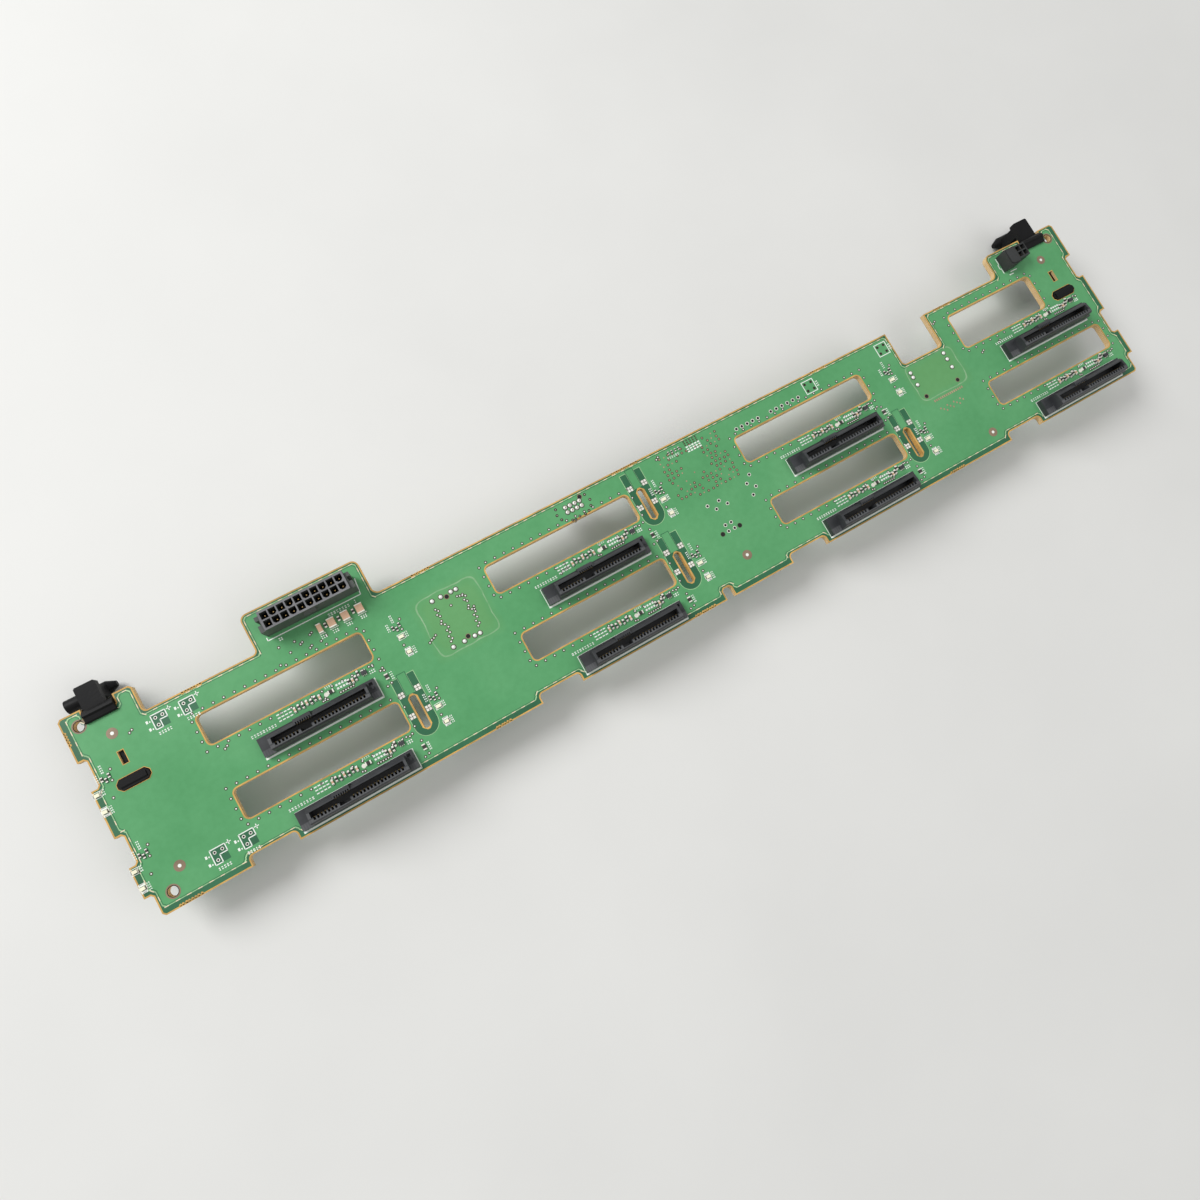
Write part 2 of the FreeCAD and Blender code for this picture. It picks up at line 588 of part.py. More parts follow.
# ---------------------------------------------------------------- latch
def latch():
    """Right hand latch about x = 0: hooks over the top notch, pegs into the slot below it."""
    gap = LATCH_CLEARANCE
    peg_width, peg_height, peg_y = PEG_SLOT
    rib_width, rib_height, rib_y = RIB_SLOT
    half = LATCH_NOTCH_HALF - gap
    low = BACK - LATCH_DEPTH
    foot_end = peg_y - peg_height / 2 - LATCH_SKIN
    base = rounded_block(-half - 0.4, foot_end, low, half + 0.4, EAR_TOP - 0.3, BACK, LATCH_WALL)
    in_x = half - LATCH_WALL
    hollow = box(-in_x, peg_y + 3.4, low - 0.1, in_x, EAR_TOP - 6.5, BACK - LATCH_SKIN)
    web = LATCH_WALL / 2
    rib_back = box(-web, peg_y + 3.0, low, web, EAR_TOP - 6.0, BACK - LATCH_SKIN + 0.1)
    body = base.cut(hollow).fuse([rib_back])
    neck = box(-half, LATCH_NOTCH_FLOOR + LATCH_SEAT_GAP, BACK - 0.5, half, EAR_TOP - 1.2, 0.6)
    # foot clamped over the board: a flat bar below a ridge
    bar = LATCH_NOTCH_FLOOR - LATCH_FOOT
    foot = section_along_x([(bar, 0), (bar, 0.8), (bar + 0.4, 1.2), (bar + 1.9, 1.4), (bar + 2.5, 2.1),
                            (bar + 3.5, 1.7), (bar + 4.4, 0.6), (bar + 4.4, 0)], -half, half)
    near, far = PLATE_SPAN
    plate = rounded_block(near, EAR_TOP - 2.0, PLATE_BACK, far, HANDLE_Y + 1.5, PLATE_FRONT, 0.5)
    pad = rounded_block(-peg_width / 2 + gap, peg_y - peg_height / 2 + gap, BACK - 0.5,
                        peg_width / 2 - gap, peg_y + peg_height / 2 - gap, 0.5, 1.2)
    crown = [(peg_y - 1.3, 0.5), (peg_y - 0.7, 0.9), (peg_y + 0.7, 0.9), (peg_y + 1.3, 0.5)]
    pad = pad.fuse([section_along_x(crown, -peg_width / 2 + 1.2, peg_width / 2 - 1.2)])
    rib = box(-rib_width / 2 + gap, rib_y - rib_height / 2 + 0.3, BACK - 0.5,
              rib_width / 2 - gap, rib_y + rib_height / 2 - 0.3, -0.9)
    root = PLATE_BACK + 0.4
    stem = box(STEM_SPAN[0], HANDLE_Y - 3.6, HANDLE_Z, STEM_SPAN[1], HANDLE_Y + 0.6, root)
    along = FreeCAD.Vector(1, 0, 0)
    grip = Part.makeCylinder(HANDLE_RADIUS, HANDLE_OUTER + HANDLE_INNER,
                             FreeCAD.Vector(-HANDLE_INNER, HANDLE_Y, HANDLE_Z), along)
    tip = Part.makeCone(HANDLE_TIP_RADIUS, HANDLE_RADIUS, HANDLE_TIP,
                        FreeCAD.Vector(-HANDLE_INNER - HANDLE_TIP, HANDLE_Y, HANDLE_Z), along)
    heel = EAR_TOP - 5.0
    brace = section_along_x([(heel, BACK - 1.0), (HANDLE_Y - 1.0, root), (HANDLE_Y - 1.0, HANDLE_Z),
                             (HANDLE_Y - 2.4, HANDLE_Z), (heel, low - 1.2)], *BRACE_SPAN)
    return body.fuse([neck, foot, plate, pad, rib, stem, grip, tip, brace]).removeSplitter()


def build_latches():
    right = latch()
    offset = FreeCAD.Vector(LATCH_CENTRE, 0, 0)
    save("board_latch_right", [right.translated(offset)])
    save("board_latch_left", [mirror_x(right.translated(offset))])


# ---------------------------------------------------------------- rear side parts
def upright_pegs():
    """Locating peg centres of the upright cable connector."""
    x, y = UPRIGHT_CENTRE
    return [(x, y - PEG_SPACING / 2), (x, y + PEG_SPACING / 2)]


def lying_pegs():
    """Locating peg centres of the lying cable connector, near its closed end."""
    x, y = LYING_CENTRE
    return [(x - PEG_SPACING / 2, y - LYING_PEG_OFFSET), (x + PEG_SPACING / 2, y - LYING_PEG_OFFSET)]


def build_upright_connector():
    """Cable connector (a): the plug comes straight at the board from behind."""
    cx, cy = UPRIGHT_CENTRE
    half_x, half_y = UPRIGHT_DEPTH / 2, CABLE_WIDTH / 2
    skin = SHELL_THICKNESS
    mouth = BACK - UPRIGHT_HEIGHT
    shell = box(cx - half_x, cy - half_y, mouth, cx + half_x, cy + half_y, BACK)
    in_x, in_y = half_x - skin, half_y - skin
    hollow = box(cx - in_x, cy - in_y, mouth - 1, cx + in_x, cy + in_y, BACK + 1)
    windows = [box(cx + half_x - 1, y - 1.6, mouth + 2.0, cx + half_x + 1, y + 1.6, mouth + 4.6)
               for y in (cy - 5.6, cy + 5.6)]
    save("cable_shell_a", [shell.cut([hollow] + windows)])
    floor = BACK - 3.0
    base = box(cx - in_x, cy - in_y, floor, cx + in_x, cy + in_y, BACK)
    tongue = box(cx - TONGUE_THICKNESS / 2, cy - TONGUE_LENGTH / 2, mouth + 2.0,
                 cx + TONGUE_THICKNESS / 2, cy + TONGUE_LENGTH / 2, floor)
    pegs = [peg(x, y, PEG_RADIUS, BACK, -0.6) for x, y in upright_pegs()]
    save("cable_core_a", [base.fuse([tongue] + pegs).removeSplitter()])


def build_lying_connector():
    """Cable connector (b): lies on the board with its mouth towards the cable cut-out."""
    cx, cy = LYING_CENTRE
    half_x, half_y = CABLE_WIDTH / 2, LYING_DEPTH / 2
    skin = SHELL_THICKNESS
    low = BACK - LYING_HEIGHT
    shell = box(cx - half_x, cy - half_y, low, cx + half_x, cy + half_y, BACK)
    lip = box(cx - half_x - 0.6, cy + half_y - 0.6, low, cx + half_x + 0.6, cy + half_y, BACK - 0.6)
    in_x = half_x - skin
    hollow = box(cx - in_x, cy - half_y - 1, low + skin, cx + in_x, cy + half_y + 1, BACK - skin)
    windows = [box(x - 1.6, cy + 2.0, low - 1, x + 1.6, cy + 5.0, low + 1) for x in (cx - 5.6, cx + 5.6)]
    pegs = [peg(x, y, PEG_RADIUS + PIN_HOLE_CLEARANCE, BACK - skin - 1, BACK + 1) for x, y in lying_pegs()]
    save("cable_shell_b", [shell.fuse([lip]).cut([hollow] + windows + pegs).removeSplitter()])
    core_front = cy - 2.5
    core = box(cx - in_x, cy - half_y + 0.2, low + skin, cx + in_x, core_front, BACK - skin)
    middle = (low + BACK) / 2
    tongue = box(cx - TONGUE_LENGTH / 2, core_front, middle - TONGUE_THICKNESS / 2,
                 cx + TONGUE_LENGTH / 2, cy + half_y - 2.4, middle + TONGUE_THICKNESS / 2)
    pegs = [peg(x, y, PEG_RADIUS, BACK - skin, -0.6) for x, y in lying_pegs()]
    save("cable_core_b", [core.fuse([tongue] + pegs).removeSplitter()])


def build_service_header():
    cx, cy = SERVICE_CENTRE
    low, high = BACK - SERVICE_HEIGHT, BACK
    shroud = box(cx - 6.2, cy - 3.1, low, cx + 6.2, cy + 3.1, high)
    well = box(cx - 5.2, cy - 2.2, low - 1, cx + 5.2, cy + 2.2, high - 1.8)
    key = box(cx - 1.2, cy - 4.0, low - 1, cx + 1.2, cy - 2.0, high - 1.8)
    places = grid(SERVICE_CENTRE, SERVICE_PITCH, SERVICE_COLUMNS, SERVICE_ROWS)
    half = SERVICE_PIN / 2
    bores = [box(x - half, y - half, high - 3, x + half, y + half, high + 1) for x, y in places]
    save("service_header", [shroud.cut([well, key] + bores).removeSplitter()])
    save("service_pins", [box(x - half, y - half, low + 0.8, x + half, y + half, 0.6) for x, y in places])


def build_controller():
    cx, cy = CHIP_CENTRE
    half = CHIP_SIZE / 2
    top = BACK - SUBSTRATE_THICKNESS
    substrate = box(cx - half, cy - half, top, cx + half, cy + half, BACK)
    inner = half - CHIP_BORDER
    lid = rounded_block(cx - inner, cy - inner, top - LID_THICKNESS, cx + inner, cy + inner, top, 1.0)
    save("controller_substrate", [substrate])
    save("controller_lid", [lid])


# ---------------------------------------------------------------- chip parts on the front face
def chip(x, y, size):
    """Two-terminal chip standing on the front face, centred at (x, y)."""
    length, width, height = size
    return box(x - length / 2, y - width / 2, 0, x + length / 2, y + width / 2, height)


def lamp_columns():
    """Lamp positions along the board: at its left edge, then beside each light pipe slot."""
    first_pipe = FIRST_COLUMN + AIR_SLOT_RIGHT + PIPE_SLOT_GAP + PIPE_SLOT_WIDTH
    places = [-HALF_WIDTH + LAMP_TO_EDGE]
    return places + [first_pipe + LAMP_TO_PIPE + column * COLUMN_PITCH for column in range(COLUMNS - 1)]


def build_chip_parts():
    rows = [FIRST_ROW, FIRST_ROW + ROW_PITCH]
    lamps = [chip(x, y + height, LAMP_SIZE) for x in lamp_columns() for y in rows for height in LAMP_HEIGHTS]
    save("status_lamps", lamps)
    turned = (RESISTOR_SIZE[1], RESISTOR_SIZE[0], RESISTOR_SIZE[2])
    resistors, drivers = [], []
    for x, y in drive_corners():
        resistors.append(chip(x + RESISTOR_PLACE[0], y + RESISTOR_PLACE[1], RESISTOR_SIZE))
        if x < LAST_COLUMN - 1:
            resistors.append(chip(x + SIDE_RESISTOR_PLACE[0], y + SIDE_RESISTOR_PLACE[1], turned))
        drivers.append(chip(x + DRIVER_PLACE[0], y + DRIVER_PLACE[1], DRIVER_SIZE))
    save("chip_resistors", resistors)
    save("lamp_drivers", drivers)
    y = LONG_TOP - RESERVOIR_TO_TOP
    save("reservoir_capacitors", [chip(TAB_LEFT + offset, y, (width, RESERVOIR_DEPTH, RESERVOIR_HEIGHT))
                                  for offset, width in RESERVOIRS])
    save("supply_resistors", [chip(TAB_LEFT + offset, y + 0.2, SUPPLY_SIZE) for offset in SUPPLY_OFFSETS])


os.makedirs("parts", exist_ok=True)
build_board()
build_receptacles()
build_power_header()
build_aux_header()
build_latches()
build_upright_connector()
build_lying_connector()
build_service_header()
build_controller()
build_chip_parts()
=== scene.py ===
import bpy
import json
import math
import random
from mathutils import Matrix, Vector
from mathutils.geometry import tessellate_polygon


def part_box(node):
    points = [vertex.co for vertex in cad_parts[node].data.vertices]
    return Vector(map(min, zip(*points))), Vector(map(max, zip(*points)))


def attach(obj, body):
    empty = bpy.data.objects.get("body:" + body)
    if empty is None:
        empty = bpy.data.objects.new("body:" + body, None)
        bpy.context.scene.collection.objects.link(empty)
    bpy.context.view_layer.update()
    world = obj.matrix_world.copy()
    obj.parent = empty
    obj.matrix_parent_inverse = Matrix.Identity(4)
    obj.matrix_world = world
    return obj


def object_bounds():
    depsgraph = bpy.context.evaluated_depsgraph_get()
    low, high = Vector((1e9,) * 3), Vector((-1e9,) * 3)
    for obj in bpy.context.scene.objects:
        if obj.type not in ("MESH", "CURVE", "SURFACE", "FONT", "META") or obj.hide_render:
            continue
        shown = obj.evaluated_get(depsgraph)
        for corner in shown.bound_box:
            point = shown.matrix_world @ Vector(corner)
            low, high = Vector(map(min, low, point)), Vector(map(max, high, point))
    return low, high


# Look of the drive backplane board. The CAD frame is used as it is: metres, origin at the
# centre of the board's front face, +Z out of that face. Sizes below are in millimetres.

MM = 0.001
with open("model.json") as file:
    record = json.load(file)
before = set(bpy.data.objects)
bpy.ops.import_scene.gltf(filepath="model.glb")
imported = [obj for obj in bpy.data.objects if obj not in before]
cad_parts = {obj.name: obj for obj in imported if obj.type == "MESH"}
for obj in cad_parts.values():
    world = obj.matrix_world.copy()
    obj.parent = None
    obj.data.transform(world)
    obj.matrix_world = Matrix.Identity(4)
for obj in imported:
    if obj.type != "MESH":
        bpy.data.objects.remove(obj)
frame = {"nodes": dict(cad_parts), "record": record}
cad_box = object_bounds()

# Heights above the board's front face
SUNK = -0.05
LINE_TOP = 0.012
MASK_TOP = 0.02
COPPER_TOP = 0.035
PRINT_TOP = 0.05
HOLE_TOP = 0.06
BACK = -2.4

PORT_COUNT = 8
COLUMN_PITCH = 109.2
ROW_PITCH = 27.8
HOUSING_INSET = 0.3
RECEPTACLE_LENGTH = 43.0
RECEPTACLE_DEPTH = 7.1

FRINGE_WIDTH = 0.5
SLOT_FRINGE = 0.22
POUR_INSET = 0.95
TAB_POUR_INSET = 2.3
POUR_LINE_WIDTH = 0.28
POUR_CLIP = 0.9
LONG_EDGE = 1.6
STITCH_SPACING = 3.8
STITCH_INSET = 1.5
VIA_RADIUS = 0.6
VIA_DOT = 0.27


# ---------------------------------------------------------------- plane shapes, in millimetres
def rectangle(x, y, width, height):
    half_w, half_h = width / 2, height / 2
    return [(x - half_w, y - half_h), (x + half_w, y - half_h), (x + half_w, y + half_h), (x - half_w, y + half_h)]


def block(x0, y0, x1, y1):
    return [(x0, y0), (x1, y0), (x1, y1), (x0, y1)]


def disc(x, y, radius, sides=12):
    turn = 2 * math.pi / sides
    return [(x + radius * math.cos(i * turn), y + radius * math.sin(i * turn)) for i in range(sides)]


def strip(x0, y0, x1, y1, width):
    """Straight line of the given width between two points."""
    length = math.hypot(x1 - x0, y1 - y0)
    nx, ny = -(y1 - y0) / length * width / 2, (x1 - x0) / length * width / 2
    return [(x0 - nx, y0 - ny), (x1 - nx, y1 - ny), (x1 + nx, y1 + ny), (x0 + nx, y0 + ny)]


def polyline(points, width):
    return [[strip(*points[i], *points[i + 1], width)] for i in range(len(points) - 1)]


def area(loop):
    return sum(a[0] * b[1] - b[0] * a[1] for a, b in zip(loop, loop[1:] + loop[:1])) / 2


def wound(loop, anticlockwise):
    return loop if (area(loop) > 0) == anticlockwise else loop[::-1]


# ---------------------------------------------------------------- meshes
def add_prism(verts, faces, loops, low, high):
    """Upright prism over an outer loop with holes."""
    loops = [wound(loops[0], True)] + [wound(loop, False) for loop in loops[1:]]
    flat = [point for loop in loops for point in loop]
    base, count = len(verts), len(flat)
    verts += [(x * MM, y * MM, high * MM) for x, y in flat]
    verts += [(x * MM, y * MM, low * MM) for x, y in flat]
    if len(loops) == 1 and count <= 24:
        caps = [tuple(range(count))]
    else:
        caps = tessellate_polygon([[Vector((x, y, 0)) for x, y in loop] for loop in loops])
    for cap in caps:
        top = cap if area([flat[i] for i in cap]) > 0 else cap[::-1]
        faces.append(tuple(base + i for i in top))
        faces.append(tuple(base + count + i for i in reversed(top)))
    start = base
    for loop in loops:
        for i in range(len(loop)):
            a, b = start + i, start + (i + 1) % len(loop)
            faces.append((a + count, b + count, b, a))
        start += len(loop)


def add_dome(verts, faces, x, y, low, radius, height, sides=12):
    """Flattened solder dome with a closed underside."""
    base = len(verts)
    rings = [(1.0, 0.0), (0.86, 0.5), (0.5, 0.87)]
    for share, rise in rings:
        for px, py in disc(x, y, radius * share, sides):
            verts.append((px * MM, py * MM, (low + rise * height) * MM))
    verts.append((x * MM, y * MM, (low + height) * MM))
    for ring in range(len(rings) - 1):
        for i in range(sides):
            a, b = base + ring * sides + i, base + ring * sides + (i + 1) % sides
            faces.append((a, b, b + sides, a + sides))
    last = base + (len(rings) - 1) * sides
    for i in range(sides):
        faces.append((last + i, last + (i + 1) % sides, base + len(rings) * sides))
    faces.append(tuple(base + i for i in reversed(range(sides))))


def piece(name, verts, faces, material, smooth=False):
    mesh = bpy.data.meshes.new(name)
    mesh.from_pydata(verts, [], faces)
    mesh.materials.append(material)
    mesh.polygons.foreach_set("use_smooth", [smooth] * len(mesh.polygons))
    made = bpy.data.objects.new(name, mesh)
    bpy.context.scene.collection.objects.link(made)
    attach(made, "root")
    return made


def prisms(name, shapes, low, high, material):
    """One piece made of many flat prisms of the same height."""
    verts, faces = [], []
    for loops in shapes:
        add_prism(verts, faces, loops, low, high)
    return piece(name, verts, faces, material)


# ---------------------------------------------------------------- materials
class Nodes:
    """Small helper that adds and links shader nodes of one material."""

    def __init__(self, name):
        self.material = bpy.data.materials.new(name)
        self.material.use_nodes = True
        self.tree = self.material.node_tree
        self.shader = self.tree.nodes["Principled BSDF"]
        self.coordinates = self.add("ShaderNodeTexCoord").outputs["Object"]

    def add(self, kind, **settings):
        node = self.tree.nodes.new(kind)
        for key, value in settings.items():
            setattr(node, key, value)
        return node

    def link(self, source, target):
        self.tree.links.new(source, target)

    def noise(self, scale, detail=4.0, roughness=0.55):
        node = self.add("ShaderNodeTexNoise")
        node.inputs["Scale"].default_value = scale
        node.inputs["Detail"].default_value = detail
        node.inputs["Roughness"].default_value = roughness
        self.link(self.coordinates, node.inputs["Vector"])
        return node.outputs["Fac"]

    def ramp(self, factor, stops):
        node = self.add("ShaderNodeValToRGB")
        elements = node.color_ramp.elements
        while len(elements) < len(stops):
            elements.new(0.5)
        for element, (position, color) in zip(elements, stops):
            element.position = position
            element.color = (*color, 1.0)
        self.link(factor, node.inputs["Fac"])
        return node.outputs["Color"]

    def spread(self, factor, low, high):
        """Maps the middle of a noise output onto low..high."""
        node = self.add("ShaderNodeMapRange")
        node.inputs["From Min"].default_value = 0.3
        node.inputs["From Max"].default_value = 0.7
        node.inputs["To Min"].default_value = low
        node.inputs["To Max"].default_value = high
        self.link(factor, node.inputs["Value"])
        return node.outputs["Result"]

    def math(self, operation, a, b=None, c=None):
        node = self.add("ShaderNodeMath", operation=operation)
        for socket, value in zip(node.inputs, (a, b, c)):
            if value is None:
                continue
            if isinstance(value, (int, float)):
                socket.default_value = value
            else:
                self.link(value, socket)
        return node.outputs["Value"]

    def mix(self, factor, a, b):
        node = self.add("ShaderNodeMix", data_type="RGBA")
        for socket, value in zip((node.inputs[0], node.inputs[6], node.inputs[7]), (factor, a, b)):
            if isinstance(value, tuple):
                socket.default_value = (*value, 1.0)
            elif isinstance(value, (int, float)):
                socket.default_value = value
            else:
                self.link(value, socket)
        return node.outputs[2]

    def soft_box(self, place, wobble, x0, y0, x1, y1, edge=0.0025, share=0.34):
        """Share inside a rounded, uneven rectangle given in millimetres, and the distance outside it."""
        reach = []
        for axis, low, high in (("X", x0, x1), ("Y", y0, y1)):
            centre, half = (low + high) / 2 * MM, (high - low) / 2 * MM
            away = self.math("ABSOLUTE", self.math("SUBTRACT", place.outputs[axis], centre))
            reach.append(self.math("SUBTRACT", away, half))
        outside = self.math("ADD", self.math("SMOOTH_MAX", *reach, 0.005), self.math("MULTIPLY", wobble, 0.0016))
        node = self.add("ShaderNodeMapRange")
        node.inputs["From Min"].default_value = edge
        node.inputs["From Max"].default_value = -edge
        node.inputs["To Max"].default_value = share
        self.link(outside, node.inputs["Value"])
        return node.outputs["Result"], outside

    def bump(self, height, distance, strength=1.0):
        node = self.add("ShaderNodeBump")
        node.inputs["Distance"].default_value = distance
        node.inputs["Strength"].default_value = strength
        self.link(height, node.inputs["Height"])
        self.link(node.outputs["Normal"], self.shader.inputs["Normal"])


def tint(color, factor):
    return tuple(min(1.0, channel * factor) for channel in color)


def moulded(name, color, roughness, grain=900.0, contrast=0.16, bump=0.00002, metallic=0.0, shine=0.5):
    """Plain moulded or metal surface with mottled tone, uneven gloss and a fine grain."""
    nodes = Nodes(name)
    mottled = nodes.noise(grain * 0.12)
    fine = nodes.noise(grain)
    colors = nodes.ramp(mottled, [(0.3, tint(color, 1 - contrast)), (0.7, tint(color, 1 + contrast))])
    nodes.link(colors, nodes.shader.inputs["Base Color"])
    nodes.link(nodes.spread(mottled, roughness * 0.85, roughness * 1.15), nodes.shader.inputs["Roughness"])
    nodes.shader.inputs["Metallic"].default_value = metallic
    nodes.shader.inputs["Specular IOR Level"].default_value = shine
    nodes.bump(fine, bump)
    return nodes.material


def top_share(nodes):
    """1 on faces that look out of the board's front."""
    normal = nodes.add("ShaderNodeSeparateXYZ")
    nodes.link(nodes.add("ShaderNodeTexCoord").outputs["Normal"], normal.inputs[0])
    return nodes.math("GREATER_THAN", normal.outputs["Z"], 0.9)


def receptacle_material():
    """Dark moulded plastic; the upward faces of the front flange that a drive slides over are painted lighter grey as
    lit, with painted light and shade striping their fine ribs.
    """
    nodes = Nodes("receptacle_plastic")
    mottled, fine = nodes.noise(160.0, 3.0), nodes.noise(1300.0)
    dark = nodes.ramp(mottled, [(0.3, (0.028, 0.03, 0.033)), (0.7, (0.046, 0.049, 0.053))])
    painted_lit_grey = nodes.ramp(mottled, [(0.3, (0.07, 0.073, 0.076)), (0.7, (0.105, 0.108, 0.112))])
    place = nodes.add("ShaderNodeSeparateXYZ")
    nodes.link(nodes.coordinates, place.inputs[0])
    across = nodes.math("WRAP", place.outputs["Y"], (ROW_PITCH - 37.2) * MM, -37.2 * MM)
    # painted light: upward faces of the front flange take a lit, lighter grey, while the back flange keeps the dark
    # colour as its painted shade
    front = nodes.math("MULTIPLY", nodes.math("LESS_THAN", across, -34.7 * MM), top_share(nodes))
    # painted highlight and shade: the fine ribs drawn as lighter and darker stripes across the lit grey
    ribs = nodes.math("SINE", nodes.math("MULTIPLY", place.outputs["X"], 2 * math.pi / (0.9 * MM)))
    painted_light_share = nodes.math("MULTIPLY", front, nodes.math("ADD", 0.8, nodes.math("MULTIPLY", ribs, 0.2)))
    nodes.link(nodes.mix(painted_light_share, dark, painted_lit_grey), nodes.shader.inputs["Base Color"])
    nodes.link(nodes.spread(mottled, 0.36, 0.5), nodes.shader.inputs["Roughness"])
    nodes.shader.inputs["Specular IOR Level"].default_value = 0.4
    nodes.bump(fine, 0.00003)
    return nodes.material


def header_material():
    """Black moulded plastic; the upward faces at the top round the wells are painted paler as lit, and the sides carry
    a painted green reflection of the board.
    """
    nodes = Nodes("header_plastic")
    mottled, fine = nodes.noise(170.0, 3.0), nodes.noise(1300.0)
    # painted reflection: the sides' dark grey carries a green tint standing in for the board reflected in them
    sides = nodes.ramp(mottled, [(0.3, (0.06, 0.068, 0.062)), (0.7, (0.098, 0.108, 0.1))])
    # painted light: paler colour for the upward faces at the top, as lit from above
    painted_lit_rims = nodes.ramp(mottled, [(0.3, (0.13, 0.13, 0.14)), (0.7, (0.2, 0.2, 0.21))])
    place = nodes.add("ShaderNodeSeparateXYZ")
    nodes.link(nodes.coordinates, place.inputs[0])
    # painted light: only upward faces above 9 mm take the paler, lit colour
    raised = nodes.math("GREATER_THAN", place.outputs["Z"], 9.0 * MM)
    nodes.link(nodes.mix(nodes.math("MULTIPLY", raised, top_share(nodes)), sides, painted_lit_rims), nodes.shader.inputs["Base Color"])
    nodes.link(nodes.spread(mottled, 0.42, 0.6), nodes.shader.inputs["Roughness"])
    nodes.shader.inputs["Specular IOR Level"].default_value = 0.4
    nodes.bump(fine, 0.00003)
    return nodes.material


def board_material():
    """Green solder mask over copper on the faces, woven laminate on the cut edges."""
    nodes = Nodes("solder_mask_board")
    cloud = nodes.noise(28.0, 3.0)
    weave = nodes.noise(420.0, 2.0)
    green = nodes.ramp(cloud, [(0.3, (0.088, 0.312, 0.124)), (0.5, (0.104, 0.345, 0.143)), (0.72, (0.124, 0.376, 0.162))])
    fine = nodes.ramp(weave, [(0.35, (0.93, 0.95, 0.93)), (0.65, (1.0, 1.0, 1.0))])
    tinted = nodes.add("ShaderNodeMix", data_type="RGBA", blend_type="MULTIPLY")
    tinted.inputs[0].default_value = 1.0
    nodes.link(green, tinted.inputs[6])
    nodes.link(fine, tinted.inputs[7])
    place = nodes.add("ShaderNodeSeparateXYZ")
    nodes.link(nodes.coordinates, place.inputs[0])
    layers = nodes.add("ShaderNodeTexWave", bands_direction="Z")
    layers.inputs["Scale"].default_value = 620.0
    layers.inputs["Distortion"].default_value = 2.0
    nodes.link(nodes.coordinates, layers.inputs["Vector"])
    laminate = nodes.ramp(layers.outputs["Fac"], [(0.2, (0.5, 0.31, 0.11)), (0.6, (0.7, 0.49, 0.24)),
                                                  (0.95, (0.84, 0.68, 0.44))])
    normal = nodes.add("ShaderNodeSeparateXYZ")
    nodes.link(nodes.add("ShaderNodeTexCoord").outputs["Normal"], normal.inputs[0])
    facing = nodes.math("GREATER_THAN", nodes.math("ABSOLUTE", normal.outputs["Z"]), 0.5)
    stained = tinted.outputs[2]
    ragged, wobble = nodes.noise(260.0, 2.0), nodes.math("SUBTRACT", nodes.noise(130.0, 2.0), 0.5)
    for area_box in STAINS:
        inside, outside = nodes.soft_box(place, wobble, *area_box)
        stained = nodes.mix(inside, stained, (0.16, 0.33, 0.1))
        rim = nodes.math("LESS_THAN", nodes.math("ABSOLUTE", outside), 0.00022)
        rim = nodes.math("MULTIPLY", rim, nodes.math("MULTIPLY", nodes.math("SUBTRACT", ragged, 0.2), 0.9))
        stained = nodes.mix(rim, stained, (0.48, 0.6, 0.42))
    nodes.link(nodes.mix(facing, laminate, stained), nodes.shader.inputs["Base Color"])
    gloss = nodes.spread(cloud, 0.3, 0.42)
    rough = nodes.math("ADD", nodes.math("MULTIPLY", gloss, facing),
                       nodes.math("MULTIPLY", nodes.math("SUBTRACT", 1.0, facing), 0.75))
    nodes.link(rough, nodes.shader.inputs["Roughness"])
    nodes.shader.inputs["Specular IOR Level"].default_value = 0.25
    nodes.bump(weave, 0.000012)
    return nodes.material


# Flux-stained areas round the two rear connectors' solder joints
STAINS = ((-97.6, -7.7, -74.1, 14.6), (119.0, -8.1, 142.8, 8.2))

